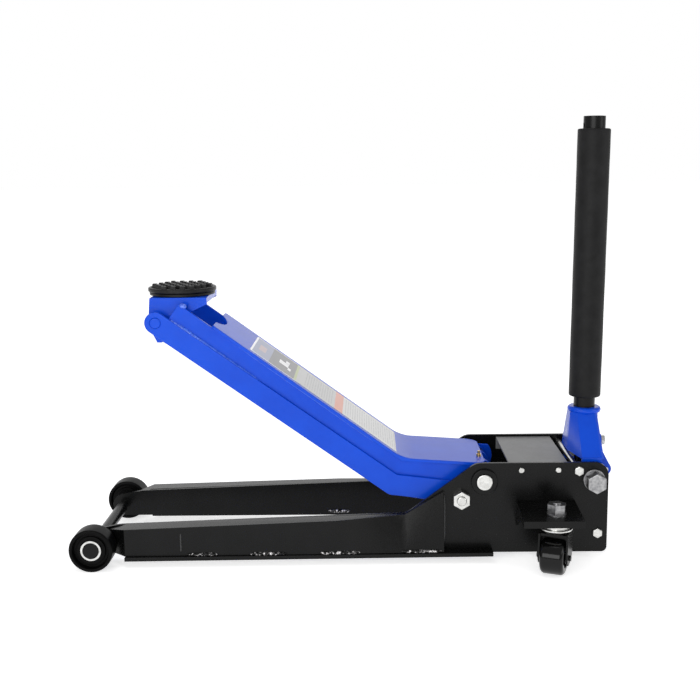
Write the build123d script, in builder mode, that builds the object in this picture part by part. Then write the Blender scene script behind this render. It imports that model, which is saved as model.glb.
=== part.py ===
from build123d import *
import math
import os

os.makedirs("parts", exist_ok=True)

# Low-profile trolley jack, in millimetres. The lifting end points to -X, the handle end to +X,
# and the floor is z = 0. The left side is at -Y and the right side, its mirror image, at +Y.

# ------------------------------------------------------------------ driving dimensions
# Chassis
front_axle_to_rear = 757.0       # front axle to the rear edge of the side plates
frame_inner = 80.0               # half the clear width between the side plates
plate_thickness = 5.0
plate_top = 146.0
plate_bottom = 9.0
rail_bottom = 14.0
rail_height_front = 56.0         # top of the low front part at the axle end
rail_height_rear = 71.0          # top of the low front part where the slope begins
slope_foot_from_rear = 296.0     # foot of the slope up to the tall rear part
slope_head_from_rear = 195.0
rail_sheet = 4.0
strip_thickness = 6.0

# Front wheels
wheel_radius = 32.0
wheel_width = 30.0
wheel_inner_face = 103.0
stub_radius = 12.0
cross_rod_radius = 9.0

# Lift arm
lift_pivot_from_rear = 182.0
lift_pivot_height = 118.0
lift_shaft_radius = 12.0
arm_reach = 535.0                # lift pivot to saddle pin
arm_rest_angle = 26.4            # the line from lift pivot to saddle pin above level, as it stands
arm_long_angle = 36.3            # slope of the arm's long part
arm_rear_angle = 3.9             # slope of its rear part
arm_bend_forward = 119.0         # top of the bend, forward of the lift pivot
arm_bend_rise = 32.0             # and above it
arm_depth = 58.0
arm_top_sheet = 5.0
arm_side_inner = 58.0            # inner face of the arm's side plates
arm_side_sheet = 5.0
arm_doubler_sheet = 5.0
tip_lobe_radius = 16.0
tip_pin_radius = 8.0

# Saddle
saddle_radius = 51.0
saddle_behind_pin = 30.0
saddle_top_above_pin = 51.0
level_offset_x = 3.0             # from lift pivot to link anchor, and from saddle pin to link pin
level_offset_z = -23.0

# Hydraulic unit
ram_radius = 18.0
ram_lever = 60.0                 # lift pivot to drive pin
lever_rest_angle = 10.9          # drive pin forward of straight down, as the jack stands
lever_half_swing = 24.0
drive_pin_radius = 8.0
cylinder_radius = 26.0
reservoir_radius = 38.0
reservoir_wall = 3.0

# Handle and pump
handle_pivot_from_rear = 21.5
handle_pivot_height = 120.0
handle_lean = 0.55               # handle leaning to the rear, in degrees
handle_tube_radius = 16.0
handle_tube_wall = 2.0
handle_length = 525.5            # handle pivot to the top end of the lower handle tube
foam_radius = 24.0
foam_start = 108.0
foam_end = 507.5
roller_arm = 28.5                # handle pivot to roller centre
roller_radius = 10.0
pump_swing = 60.0                # handle swing of one full stroke
pump_tilt = 30.0                 # plungers and release spindle lean back from upright
plunger_radius = 6.0
plunger_spacing = 20.0           # each plunger from the middle of the jack
spindle_radius = 5.0

# Rear casters
caster_from_rear = 84.5
caster_out = 134.0               # swivel axis from the middle of the jack
caster_wheel_radius = 25.5
caster_wheel_width = 34.0
caster_trail = 12.0
caster_turn = 22.0               # how far the axle stands off the jack's length
shelf_top = 83.0                 # top of the caster shelf at its outer edge

# Clearances
running_fit = 0.1                # pin or shaft in its bore
side_play = 0.3                  # between faces that turn against each other
soft_gap = 0.3

# ------------------------------------------------------------------ stations worked out
plate_outer = frame_inner + plate_thickness
rearmost = roller_arm + roller_radius - handle_pivot_from_rear
rear_edge = (front_axle_to_rear + wheel_radius - rearmost) / 2
axle_x = rear_edge - front_axle_to_rear
lift_x = rear_edge - lift_pivot_from_rear
lift_z = lift_pivot_height
handle_x = rear_edge - handle_pivot_from_rear
handle_z = handle_pivot_height


def forward_up(angle, length):
    """Step of a given length, forward and up at an angle above level, as (x, z)."""
    a = math.radians(angle)
    return (-length * math.cos(a), length * math.sin(a))


def square_down(angle, length):
    """Step square to forward_up(angle), downwards, as (x, z)."""
    a = math.radians(angle)
    return (-length * math.sin(a), -length * math.cos(a))


def plus(point, *steps):
    """A point in the side view moved by one or more steps."""
    return (point[0] + sum(s[0] for s in steps), point[1] + sum(s[1] for s in steps))


def side_view(y):
    """Plane at y seen from the left side: local x is X, local y is Z, extrusion runs to -Y."""
    return Plane(origin=(0, y, 0), x_dir=(1, 0, 0), z_dir=(0, -1, 0))


def bar_across(radius, y_start, y_end, point):
    """Round bar along Y between two y values, centred on a point of the side view."""
    with BuildPart() as bar:
        with BuildSketch(side_view(y_end)):
            with Locations(point):
                Circle(radius)
        extrude(amount=y_end - y_start)
    return bar.part


def hexagon_across(flats, y_start, y_end, point):
    """Hexagonal head or nut along Y with corners at top and bottom."""
    with BuildPart() as head:
        with BuildSketch(side_view(y_end)):
            with Locations(point):
                RegularPolygon(flats / 2, 6, major_radius=False, rotation=90)
        extrude(amount=y_end - y_start)
        chamfer(head.edges().group_by(Axis.Y)[0], 0.6)
    return head.part


def save(piece, name):
    """Label one finished piece and write it under its own name."""
    piece.label = name
    export_step(piece, f"parts/{name}.step")


lift_pivot = (lift_x, lift_z)
saddle_pin = plus(lift_pivot, forward_up(arm_rest_angle, arm_reach))
handle_pivot = (handle_x, handle_z)
axle = (axle_x, wheel_radius)
bend_top = plus(lift_pivot, (-arm_bend_forward, arm_bend_rise))
bend_angle = (arm_long_angle + arm_rear_angle) / 2
bend_stretch = 1 / math.cos(math.radians((arm_long_angle - arm_rear_angle) / 2))
link_step = (level_offset_x, level_offset_z)
link_anchor = plus(lift_pivot, link_step)
link_pin = plus(saddle_pin, link_step)
guide_bolt = plus(lift_pivot, (-34.0, -26.0))
tie_rod_at = (rear_edge - 44.0, plate_top - 12.0)
rear_bar_at = (rear_edge - 15.0, 39.0)
cover_screw_z = plate_top - 11.0
cover_front = rear_edge - 145.0
cover_rear = rear_edge - 58.0
cover_screw_x = (rear_edge - 128.0, rear_edge - 74.0)
caster_x = rear_edge - caster_from_rear

# ------------------------------------------------------------------ chassis side plates
# One steel plate a side runs the whole length: low in front, tall behind, with round noses on
# the axle line. The cross members pass through or end on it.
nose_radius = 18.0
rear_corner = 20.0
foot_corner = 8.0
rear_corner_leg = 60.0            # straight run on both sides of the rounded rear corner
belly_rear = rear_edge - 200.0    # the plate's foot steps up between these two
belly_front = rear_edge - 260.0
shoulder_behind_axle = 32.0
slope_fillet = 25.0
axle_neck_radius = 6.0
screw_radius = 2.5
socket_bolt_radius = 8.0
guide_bolt_radius = 7.0
bar_bolt_radius = 4.0
tie_rod_radius = 4.5

with BuildPart() as side_plate:
    with BuildSketch(side_view(-frame_inner)):
        with BuildLine():
            low_nose = (axle_x, wheel_radius - nose_radius)
            high_nose = (axle_x, wheel_radius + nose_radius)
            shoulder = (axle_x + shoulder_behind_axle, rail_height_front)
            foot = (rear_edge - slope_foot_from_rear, rail_height_rear)
            head = (rear_edge - slope_head_from_rear, plate_top)
            Line(high_nose, shoulder)
            FilletPolyline(shoulder, foot, head, (rear_edge - rear_corner_leg, plate_top),
                           radius=slope_fillet)
            FilletPolyline((rear_edge - rear_corner_leg, plate_top), (rear_edge, plate_top),
                           (rear_edge, plate_top - rear_corner_leg), radius=rear_corner)
            FilletPolyline((rear_edge, plate_top - rear_corner_leg), (rear_edge, plate_bottom),
                           (belly_rear, plate_bottom), radius=foot_corner)
            Line((belly_rear, plate_bottom), (belly_front, rail_bottom))
            Line((belly_front, rail_bottom), low_nose)
            ThreePointArc(low_nose, (axle_x - nose_radius, wheel_radius), high_nose)
        make_face()
        for point, radius in (
            (axle, axle_neck_radius),
            (lift_pivot, lift_shaft_radius),
            (guide_bolt, guide_bolt_radius),
            (tie_rod_at, tie_rod_radius),
            (rear_bar_at, bar_bolt_radius),
            (handle_pivot, socket_bolt_radius),
            ((cover_screw_x[0], cover_screw_z), screw_radius),
            ((cover_screw_x[1], cover_screw_z), screw_radius),
        ):
            with Locations(point):
                Circle(radius, mode=Mode.SUBTRACT)
    extrude(amount=plate_thickness)
save(side_plate.part, "side_plate_left")
save(side_plate.part.mirror(Plane.XZ), "side_plate_right")

# ------------------------------------------------------------------ box rails
# A bent sheet outside each side plate: a top flange and an outer web that leans in as the rail
# runs back and climbs the slope, so that it dies against the plate.
rail_stations = (
    # x, top height, outer edge of the flange, outer edge of the web's foot
    (axle_x + 19.0, rail_height_front - 5.0, plate_outer + 5.0, plate_outer + 5.0),
    (axle_x + 45.0, rail_height_front + 1.0, plate_outer + 27.0, plate_outer + 27.0),
    (rear_edge - 400.0, rail_height_rear - 4.5, plate_outer + 21.0, plate_outer + 23.0),
    (rear_edge - 300.0, rail_height_rear - 0.5, plate_outer + 6.0, plate_outer + 20.0),
    (rear_edge - 242.0, rail_height_rear + 34.0, plate_outer + 5.0, plate_outer + 18.0),
)
rail_foot = rail_bottom + 2.0

with BuildPart() as rail:
    for x, top, flange_edge, foot_edge in rail_stations:
        with BuildSketch(Plane(origin=(x, 0, 0), x_dir=(0, -1, 0), z_dir=(-1, 0, 0))):
            with BuildLine():
                Polyline(
                    (plate_outer, top), (flange_edge, top), (foot_edge, rail_foot),
                    (foot_edge - rail_sheet, rail_foot),
                    (flange_edge - rail_sheet, top - rail_sheet),
                    (plate_outer, top - rail_sheet), close=True,
                )
            make_face()
    loft(ruled=True)
with BuildPart() as rails:
    add(rail.part)
    mirror(about=Plane.XZ)
save(rails.part, "rails")

# ------------------------------------------------------------------ base strips
# Flat bars under the rails, welded to the side plates and to the foot of each web.
strip_front = axle_x + 45.0
strip_rear = rear_edge - 170.0
with BuildPart() as base_strips:
    with BuildSketch(Plane.XY.offset(rail_foot - strip_thickness)):
        with BuildLine():
            Polyline(
                (strip_front, -plate_outer), (strip_front, -plate_outer - 32.0),
                (strip_rear, -plate_outer - 21.0), (strip_rear, -plate_outer), close=True,
            )
        make_face()
    extrude(amount=strip_thickness)
    mirror(about=Plane.XZ)
save(base_strips.part, "base_strips")

# ------------------------------------------------------------------ front axle
# A cross rod ties the two noses together. Each wheel turns on a stub welded outside its plate
# and is kept on by a ring in a groove.
wheel_outer_face = wheel_inner_face + wheel_width
hub_face = wheel_outer_face - 5.0
ring_thickness = 2.0
ring_face = hub_face + side_play + ring_thickness
neck_start = frame_inner - 16.0

with BuildPart() as front_cross_rod:
    add(bar_across(cross_rod_radius, -neck_start, neck_start, axle))
    add(bar_across(axle_neck_radius, -plate_outer, plate_outer, axle))
save(front_cross_rod.part, "front_cross_rod")

with BuildPart() as stub:
    add(bar_across(stub_radius, -wheel_outer_face + 1.0, -plate_outer, axle))
    add(bar_across(stub_radius + 5.0, -wheel_inner_face + side_play, -plate_outer, axle))
    chamfer(stub.edges().group_by(Axis.Y)[0], 1.0)
    add(bar_across(stub_radius + 1.0, -ring_face, -ring_face + ring_thickness, axle),
        mode=Mode.SUBTRACT)
    add(bar_across(stub_radius - 1.0, -ring_face, -ring_face + ring_thickness, axle))
with BuildPart() as wheel_stubs:
    add(stub.part)
    mirror(about=Plane.XZ)
save(wheel_stubs.part, "wheel_stubs")

with BuildPart() as wheel_ring:
    add(bar_across(stub_radius + 3.0, -ring_face, -ring_face + ring_thickness, axle))
    add(bar_across(stub_radius - 1.0, -ring_face, -ring_face + ring_thickness, axle),
        mode=Mode.SUBTRACT)
with BuildPart() as wheel_rings:
    add(wheel_ring.part)
    mirror(about=Plane.XZ)
save(wheel_rings.part, "wheel_rings")

with BuildPart() as front_wheel:
    with BuildSketch(Plane(origin=(axle_x, 0, wheel_radius), x_dir=(0, 0, 1), z_dir=(1, 0, 0))):
        # local x is the radius, local y runs to -Y
        bore = stub_radius + running_fit
        with BuildLine():
            Polyline(
                (bore, wheel_inner_face), (bore, hub_face), (bore + 9.0, hub_face),
                (bore + 9.0, hub_face - 3.0), (wheel_radius - 6.5, hub_face - 3.0),
                (wheel_radius - 5.0, wheel_outer_face), (wheel_radius, wheel_outer_face),
                (wheel_radius, wheel_inner_face), (wheel_radius - 5.0, wheel_inner_face),
                (wheel_radius - 6.5, wheel_inner_face + 5.0), (bore + 9.0, wheel_inner_face + 5.0),
                (bore + 9.0, wheel_inner_face), close=True,
            )
        make_face()
    revolve(axis=Axis((axle_x, 0, wheel_radius), (0, 1, 0)))
    tread = front_wheel.edges().filter_by(GeomType.CIRCLE).sort_by(SortBy.RADIUS)[-2:]
    fillet(tread, 2.5)
save(front_wheel.part, "front_wheel_left")
save(front_wheel.part.mirror(Plane.XZ), "front_wheel_right")

# ------------------------------------------------------------------ lift shaft
# The arm's pivot: a zinc-plated shaft through both plates, with a black collar outside each plate
# and a spacer between plate and arm.
arm_side_outer = arm_side_inner + arm_side_sheet
doubler_outer = arm_side_outer + arm_doubler_sheet
collar_radius = 19.5

with BuildPart() as lift_shaft:
    add(bar_across(lift_shaft_radius, -plate_outer - 6.0, plate_outer + 6.0, lift_pivot))
    chamfer(lift_shaft.edges().filter_by(GeomType.CIRCLE), 1.0)
save(lift_shaft.part, "lift_shaft")

with BuildPart() as collar:
    add(bar_across(collar_radius, -plate_outer - 4.0, -plate_outer, lift_pivot))
    fillet(collar.edges().filter_by(GeomType.CIRCLE).group_by(Axis.Y)[0], 1.5)
    add(bar_across(collar_radius - 2.0, -frame_inner, -arm_side_outer - side_play, lift_pivot))
    add(bar_across(lift_shaft_radius, -plate_outer - 4.0, 0, lift_pivot), mode=Mode.SUBTRACT)
with BuildPart() as pivot_collars:
    add(collar.part)
    mirror(about=Plane.XZ)
save(pivot_collars.part, "pivot_collars")

# Short bolts hold a round guide pad inside each plate, which keeps the arm in the middle.
guide_pad_radius = 13.0
guide_pad_face = doubler_outer + 3.0
with BuildPart() as guide:
    add(bar_across(guide_bolt_radius, -plate_outer - 14.0, -frame_inner, guide_bolt))
    add(bar_across(guide_pad_radius, -frame_inner, -guide_pad_face, guide_bolt))
    chamfer(guide.edges().filter_by(GeomType.CIRCLE).group_by(Axis.Y)[0], 1.0)
with BuildPart() as guide_bolts:
    add(guide.part)
    mirror(about=Plane.XZ)
save(guide_bolts.part, "guide_bolts")

guide_nut_solid = hexagon_across(24.0, -plate_outer - 11.0, -plate_outer, guide_bolt)
with BuildPart() as guide_nuts:
    add(guide_nut_solid)
    add(bar_across(guide_bolt_radius, -plate_outer - 14.0, 0, guide_bolt), mode=Mode.SUBTRACT)
    mirror(about=Plane.XZ)
save(guide_nuts.part, "guide_nuts")

# ------------------------------------------------------------------ cross members
# Cover plate between the side plates, with turned-down edges that the cover screws run into.
cover_sheet = 3.0
cover_edge = frame_inner - side_play
cover_z = plate_top - 3.0
with BuildPart() as cover_plate:
    with BuildSketch(Plane.YZ.offset(cover_front)):
        with Locations((0, cover_z - cover_sheet / 2)):
            Rectangle(2 * cover_edge, cover_sheet)
        for side in (-1, 1):
            with Locations((side * (cover_edge - cover_sheet / 2), cover_z - 10)):
                Rectangle(cover_sheet, 20)
    extrude(amount=cover_rear - cover_front)
    fillet(cover_plate.edges().filter_by(Axis.X).group_by(Axis.Z)[-1], 2.0)
    for x in cover_screw_x:
        add(bar_across(screw_radius, -plate_outer, plate_outer, (x, cover_screw_z)), mode=Mode.SUBTRACT)
save(cover_plate.part, "cover_plate")

screw_solids = []
for x in cover_screw_x:
    at = (x, cover_screw_z)
    screw_solids.append(bar_across(screw_radius, -plate_outer, -cover_edge + cover_sheet, at))
    screw_solids.append(bar_across(4.2, -plate_outer - 3.0, -plate_outer, at))
with BuildPart() as cover_screws:
    add(screw_solids)
    fillet(cover_screws.edges().filter_by(GeomType.CIRCLE).group_by(Axis.Y)[0], 1.2)
    mirror(about=Plane.XZ)
save(cover_screws.part, "cover_screws")

# Zinc-plated tie rod behind the cover, with a head at each end.
tie_head = [hexagon_across(13.0, -plate_outer - 6.0, -plate_outer, tie_rod_at)]
with BuildPart() as tie_rod:
    add(bar_across(tie_rod_radius, -plate_outer - 6.0, plate_outer + 6.0, tie_rod_at))
    add(tie_head)
    mirror(about=Plane.XZ)
save(tie_rod.part, "tie_rod")

# Round bar that carries the back of the hydraulic unit, bolted through the plates.
rear_bar_radius = 7.0
bolt_depth = 14.0
with BuildPart() as rear_cross_bar:
    add(bar_across(rear_bar_radius, -frame_inner, frame_inner, rear_bar_at))
    for start in (-frame_inner, frame_inner - bolt_depth):
        add(bar_across(bar_bolt_radius, start, start + bolt_depth, rear_bar_at), mode=Mode.SUBTRACT)
save(rear_cross_bar.part, "rear_cross_bar")

bar_bolt_head = hexagon_across(13.0, -plate_outer - 6.0, -plate_outer, rear_bar_at)
with BuildPart() as rear_bar_bolts:
    add(bar_bolt_head)
    add(bar_across(bar_bolt_radius, -plate_outer, -frame_inner + bolt_depth, rear_bar_at))
    mirror(about=Plane.XZ)
save(rear_bar_bolts.part, "rear_bar_bolts")

# Anchors of the levelling links: on each side two lugs welded to the fixed shaft, with a pin.
link_inner = 35.0
link_sheet = 8.0
link_bar_radius = 4.0
anchor_lug_radius = 16.5
anchor_lug_sheet = 3.5
anchor_pin_start = link_inner - side_play - anchor_lug_sheet
anchor_pin_end = link_inner + link_sheet + side_play + anchor_lug_sheet
with BuildPart() as anchor:
    for start in (anchor_pin_start, anchor_pin_end - anchor_lug_sheet):
        with BuildSketch(side_view(-start)):
            with Locations(lift_pivot):
                Circle(anchor_lug_radius)
            with Locations(link_anchor):
                Circle(link_bar_radius + 3.0)
            make_hull()
            with Locations(lift_pivot):
                Circle(lift_shaft_radius, mode=Mode.SUBTRACT)
        extrude(amount=anchor_lug_sheet)
    add(bar_across(link_bar_radius, -anchor_pin_end, -anchor_pin_start, link_anchor))
with BuildPart() as link_anchor_lugs:
    add(anchor.part)
    mirror(about=Plane.XZ)
save(link_anchor_lugs.part, "link_anchor_lugs")

# ------------------------------------------------------------------ hydraulic unit
ram_rest = ram_lever * math.sin(math.radians(lever_half_swing)) * lever_rest_angle / lever_half_swing
drive_pin_at = plus(lift_pivot, (-ram_lever * math.sin(math.radians(lever_rest_angle)),
                                 -ram_lever * math.cos(math.radians(lever_rest_angle))))
ram_axis_z = lift_z - ram_lever * (1 + math.cos(math.radians(lever_half_swing))) / 2
block_front = rear_edge - 60.0
block_rear = rear_edge - 2.0
block_bottom = 20.0
block_half_width = 42.0
cradle_front = rear_edge - 118.0
cradle_sheet = 8.0
cylinder_front = rear_edge - 124.0
cylinder_rear = rear_edge - 56.0
unit_axis = Plane(origin=(0, 0, ram_axis_z), x_dir=(0, 1, 0), z_dir=(1, 0, 0))


def bar_along(radius, x_start, x_end):
    """Round bar along X on the ram's axis."""
    with BuildPart() as bar:
        with BuildSketch(unit_axis.offset(x_start)):
            Circle(radius)
        extrude(amount=x_end - x_start)
    return bar.part


# Cradle: a thick plate between the side plates, with the cylinder's nose through it.
spring_y = 50.0
with BuildPart() as cradle_plate:
    with BuildSketch(Plane.YZ.offset(cradle_front)):
        with BuildLine():
            Polyline((-frame_inner, 22), (frame_inner, 22), (frame_inner, 78), (60, 98),
                     (-60, 98), (-frame_inner, 78), close=True)
        make_face()
    extrude(amount=cradle_sheet)
    add(bar_along(cylinder_radius, cradle_front, cradle_front + cradle_sheet), mode=Mode.SUBTRACT)
save(cradle_plate.part, "cradle_plate")

with BuildPart() as hydraulic_cylinder:
    add(bar_along(cylinder_radius, cylinder_front, cylinder_rear))
    add(bar_along(ram_radius + running_fit, cylinder_front, cylinder_rear - 4.0), mode=Mode.SUBTRACT)
save(hydraulic_cylinder.part, "hydraulic_cylinder")

nut_front = cylinder_front - 7.0
with BuildPart() as cylinder_nut:
    add(bar_along(cylinder_radius + 3.0, nut_front, cradle_front))
    add(bar_along(cylinder_radius, cylinder_front, cradle_front), mode=Mode.SUBTRACT)
    add(bar_along(ram_radius + running_fit, nut_front, cylinder_front), mode=Mode.SUBTRACT)
    front_rings = cylinder_nut.edges().filter_by(GeomType.CIRCLE).group_by(Axis.X)[0]
    chamfer(front_rings.sort_by(SortBy.RADIUS)[-1], 1.5)
save(cylinder_nut.part, "cylinder_nut")

reservoir_front = cradle_front + cradle_sheet
with BuildPart() as reservoir:
    add(bar_along(reservoir_radius, reservoir_front, block_front))
    add(bar_along(reservoir_radius - reservoir_wall, reservoir_front, block_front), mode=Mode.SUBTRACT)
save(reservoir.part, "reservoir")

# Pump block: its sloping top faces up and back, square to the plungers and the release spindle,
# which all lean by pump_tilt.
tilt = math.radians(pump_tilt)
stroke = 2 * roller_arm * math.sin(math.radians(pump_swing / 2))
plunger_foot = (handle_x + roller_arm * math.cos(tilt), 0, handle_z - roller_arm * math.sin(tilt))
into_block = Vector(-math.sin(tilt), 0, -math.cos(tilt))


def pump_plane(origin, depth, y=0.0):
    """Plane square to the plungers, at a depth below the given point, facing into the block."""
    start = Vector(*origin) + into_block * depth + Vector(0, y, 0)
    return Plane(origin=start, x_dir=(0, 1, 0), z_dir=into_block)


def pump_bar(radius, origin, start, end, y=0.0):
    """Round bar along a plunger's or the spindle's line, between two depths."""
    with BuildPart() as bar:
        with BuildSketch(pump_plane(origin, start, y)):
            Circle(radius)
        extrude(amount=end - start)
    return bar.part


roller_gap = 0.5
plunger_head_radius = 9.5
plunger_head_height = 5.0
head_top = roller_radius + roller_gap - stroke / 2
head_foot = head_top + plunger_head_height
gland_height = 6.0
spring_closed = 7.5
gland_top = head_foot + stroke + spring_closed
block_face = gland_top + gland_height
plunger_end = gland_top + 10.0
bore_end = plunger_end + stroke + 2.0
ball_radius = 7.0
spindle_neck = 3.0
spindle_end = block_face + 12.0
pivot_point = (handle_x, 0, handle_z)
face_point = Vector(*plunger_foot) + into_block * block_face


def face_height(x):
    """Height of the block's sloping top at a given x."""
    return face_point.Z - (x - face_point.X) * math.tan(tilt)


with BuildPart() as pump_block:
    with BuildSketch(side_view(block_half_width)):
        with BuildLine():
            Polyline(
                (block_front, block_bottom), (block_front, face_height(block_front)),
                (block_rear, face_height(block_rear)), (block_rear, block_bottom), close=True,
            )
        make_face()
    extrude(amount=2 * block_half_width)
    fillet(pump_block.edges().filter_by(Axis.Z), 6.0)
    add(bar_across(rear_bar_radius, -block_half_width, block_half_width, rear_bar_at), mode=Mode.SUBTRACT)
    add(bar_along(cylinder_radius, block_front, cylinder_rear), mode=Mode.SUBTRACT)
    for y in (-plunger_spacing, plunger_spacing):
        add(pump_bar(plunger_radius + running_fit, plunger_foot, block_face - 5, bore_end, y),
            mode=Mode.SUBTRACT)
    add(pump_bar(spindle_radius + running_fit, pivot_point, block_face - 5, spindle_end + 1),
        mode=Mode.SUBTRACT)
save(pump_block.part, "pump_block")

# Gland nuts round the two plungers and the release spindle.
gland_solids = []
for origin, bore, y in (
    (plunger_foot, plunger_radius, -plunger_spacing),
    (plunger_foot, plunger_radius, plunger_spacing),
    (pivot_point, spindle_radius, 0.0),
):
    with BuildPart() as gland:
        with BuildSketch(pump_plane(origin, gland_top, y)):
            RegularPolygon(bore + 4.5, 6, major_radius=False)
            Circle(bore + running_fit, mode=Mode.SUBTRACT)
        extrude(amount=gland_height)
    gland_solids.append(gland.part)
with BuildPart() as gland_nuts:
    add(gland_solids)
save(gland_nuts.part, "gland_nuts")

# Oil filler screw on the reservoir's top.
with BuildPart() as filler_plug:
    with BuildSketch(Plane.XY.offset(ram_axis_z + reservoir_radius - 1.0)):
        with Locations((rear_edge - 86.0, 0)):
            RegularPolygon(6.0, 6)
    extrude(amount=6.0)
    add(bar_along(reservoir_radius, rear_edge - 100.0, rear_edge - 70.0), mode=Mode.SUBTRACT)
save(filler_plug.part, "filler_plug")

with BuildPart() as pump_plungers:
    add([pump_bar(plunger_head_radius, plunger_foot, head_top, head_foot, y)
         for y in (-plunger_spacing, plunger_spacing)])
    add([pump_bar(plunger_radius, plunger_foot, head_foot, plunger_end, y)
         for y in (-plunger_spacing, plunger_spacing)])
save(pump_plungers.part, "pump_plungers")

# Release spindle: threaded rod with a ball head on the handle's pivot line and a drive pin
# across the ball, so that it turns with the handle at any angle of the handle.
driver_bore = 8.5
driver_radius = 12.0
cross_pin_half = driver_radius - 0.5
cross_pin_radius = 2.0
with BuildPart() as release_spindle:
    with BuildSketch(Plane.XZ):
        with Locations(handle_pivot):
            Circle(ball_radius)
            Rectangle(2 * ball_radius, 2 * ball_radius, align=(Align.MAX, Align.CENTER),
                      mode=Mode.SUBTRACT)
    revolve(axis=Axis((handle_x, 0, handle_z), (0, 0, 1)))
    add(pump_bar(spindle_neck, pivot_point, 0, 14.0))
    add(pump_bar(spindle_radius, pivot_point, 14.0, spindle_end))
    add(bar_across(cross_pin_radius, -cross_pin_half, cross_pin_half, handle_pivot))
save(release_spindle.part, "release_spindle")

# Ram and its block. The block has a tall slot for the arm's drive pin.
slot_center_x = lift_x - ram_rest
ram_block_half = 17.0
slot_play = 0.5
ram_pull_back = ram_lever * math.sin(math.radians(lever_half_swing)) + ram_rest
ram_tail = cylinder_rear - 5.0 - ram_pull_back
pin_low = lift_z - ram_lever
pin_high = lift_z - ram_lever * math.cos(math.radians(lever_half_swing))
with BuildPart() as ram_block:
    with BuildSketch(side_view(18.0)):
        with Locations((slot_center_x, ram_axis_z)):
            RectangleRounded(2 * ram_block_half, 40.0, 5.0)
        with Locations((slot_center_x, (pin_low + pin_high) / 2)):
            SlotCenterToCenter(pin_high - pin_low + 1.0, 2 * (drive_pin_radius + slot_play),
                               rotation=90, mode=Mode.SUBTRACT)
    extrude(amount=36.0)
save(ram_block.part, "ram_block")
save(bar_along(ram_radius, slot_center_x + ram_block_half, ram_tail), "ram")

# ------------------------------------------------------------------ lift arm
rear_slope = math.tan(math.radians(arm_rear_angle))
top_rear = plus(lift_pivot, (4.0, arm_bend_rise - (arm_bend_forward + 4.0) * rear_slope))
top_front = plus(bend_top, forward_up(arm_long_angle, 342.0))
side_front = plus(bend_top, forward_up(arm_long_angle, 400.0))
bend_bottom = plus(bend_top, square_down(bend_angle, arm_depth * bend_stretch))
sheet_rear = square_down(arm_rear_angle, arm_top_sheet)
sheet_bend = square_down(bend_angle, arm_top_sheet * bend_stretch)
sheet_long = square_down(arm_long_angle, arm_top_sheet)
top_half_width = doubler_outer + 1.0
heel = plus(lift_pivot, (-20.0, -45.0))
side_toe = plus(saddle_pin, forward_up(arm_long_angle, -15.0), square_down(arm_long_angle, 4.0))
side_brow = plus(saddle_pin, forward_up(arm_long_angle, -12.0), square_down(arm_long_angle, -20.0))
lower_front = plus(side_toe, square_down(arm_long_angle, 9.0))

# Side plates of the arm: bent in side view, with a round rear end on the lift shaft.
with BuildPart() as arm_side:
    with BuildSketch(side_view(-arm_side_inner)):
        with BuildLine():
            Polyline(
                plus(top_rear, sheet_rear), plus(bend_top, sheet_bend), plus(side_front, sheet_long),
                side_brow, side_toe, lower_front, bend_bottom, heel, close=True,
            )
        make_face()
        with Locations(lift_pivot):
            Circle(28.0)
        with BuildLine():
            Polyline(
                plus(bend_top, sheet_bend), plus(bend_top, sheet_bend, forward_up(arm_rear_angle, -160.0)),
                plus(bend_top, (160.0, 60.0)), plus(bend_top, (0.0, 60.0)), close=True,
            )
        make_face(mode=Mode.SUBTRACT)
        with Locations(lift_pivot):
            Circle(lift_shaft_radius + running_fit, mode=Mode.SUBTRACT)
        with Locations(saddle_pin):
            Circle(tip_lobe_radius - 3.0, mode=Mode.SUBTRACT)
    extrude(amount=arm_side_sheet)
with BuildPart() as arm_side_plates:
    add(arm_side.part)
    mirror(about=Plane.XZ)
save(arm_side_plates.part, "arm_side_plates")

# Doublers: bars along the lower half of each side, ending in round lobes that hold the pin.
middle_bend = plus(bend_bottom, square_down(bend_angle, -tip_lobe_radius * bend_stretch))
middle_rear = plus(lift_pivot, (-44.0, -20.0))
with BuildPart() as doubler:
    for near, far in ((saddle_pin, middle_bend), (middle_bend, middle_rear)):
        with BuildSketch(side_view(-arm_side_outer)):
            with Locations(near, far):
                Circle(tip_lobe_radius)
            make_hull()
        extrude(amount=arm_doubler_sheet)
    add(bar_across(tip_pin_radius, -doubler_outer, -arm_side_outer, saddle_pin), mode=Mode.SUBTRACT)
with BuildPart() as arm_doublers:
    add(doubler.part)
    mirror(about=Plane.XZ)
save(arm_doublers.part, "arm_doublers")

# Top plate, bent once. Its front edge is hollowed out to clear the saddle when the arm is down,
# which leaves a tab at each side.
lowered = math.radians(2 * lever_half_swing - (lever_half_swing - lever_rest_angle))
notch_at = plus(saddle_pin, (
    saddle_behind_pin * math.cos(lowered) + saddle_top_above_pin * math.sin(lowered),
    saddle_top_above_pin * math.cos(lowered) - saddle_behind_pin * math.sin(lowered),
))
with BuildPart() as arm_top_plate:
    with BuildSketch(side_view(top_half_width)):
        with BuildLine():
            Polyline(
                top_rear, bend_top, top_front, plus(top_front, sheet_long),
                plus(bend_top, sheet_bend), plus(top_rear, sheet_rear), close=True,
            )
        make_face()
    extrude(amount=2 * top_half_width)
    corners = arm_top_plate.edges().filter_by(lambda e: e.length < arm_top_sheet + 0.1)
    fillet(corners.group_by(Axis.X)[0], 6.0)
    corners = arm_top_plate.edges().filter_by(lambda e: e.length < arm_top_sheet + 0.1)
    fillet(corners.group_by(Axis.X)[-1], 18.0)
    with BuildSketch(Plane(origin=(notch_at[0], 0, notch_at[1]), x_dir=(0, 1, 0),
                           z_dir=(math.sin(lowered), 0, math.cos(lowered)))):
        Circle(saddle_radius + 4.0)
    extrude(amount=60.0, both=True, mode=Mode.SUBTRACT)
save(arm_top_plate.part, "arm_top_plate")

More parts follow.
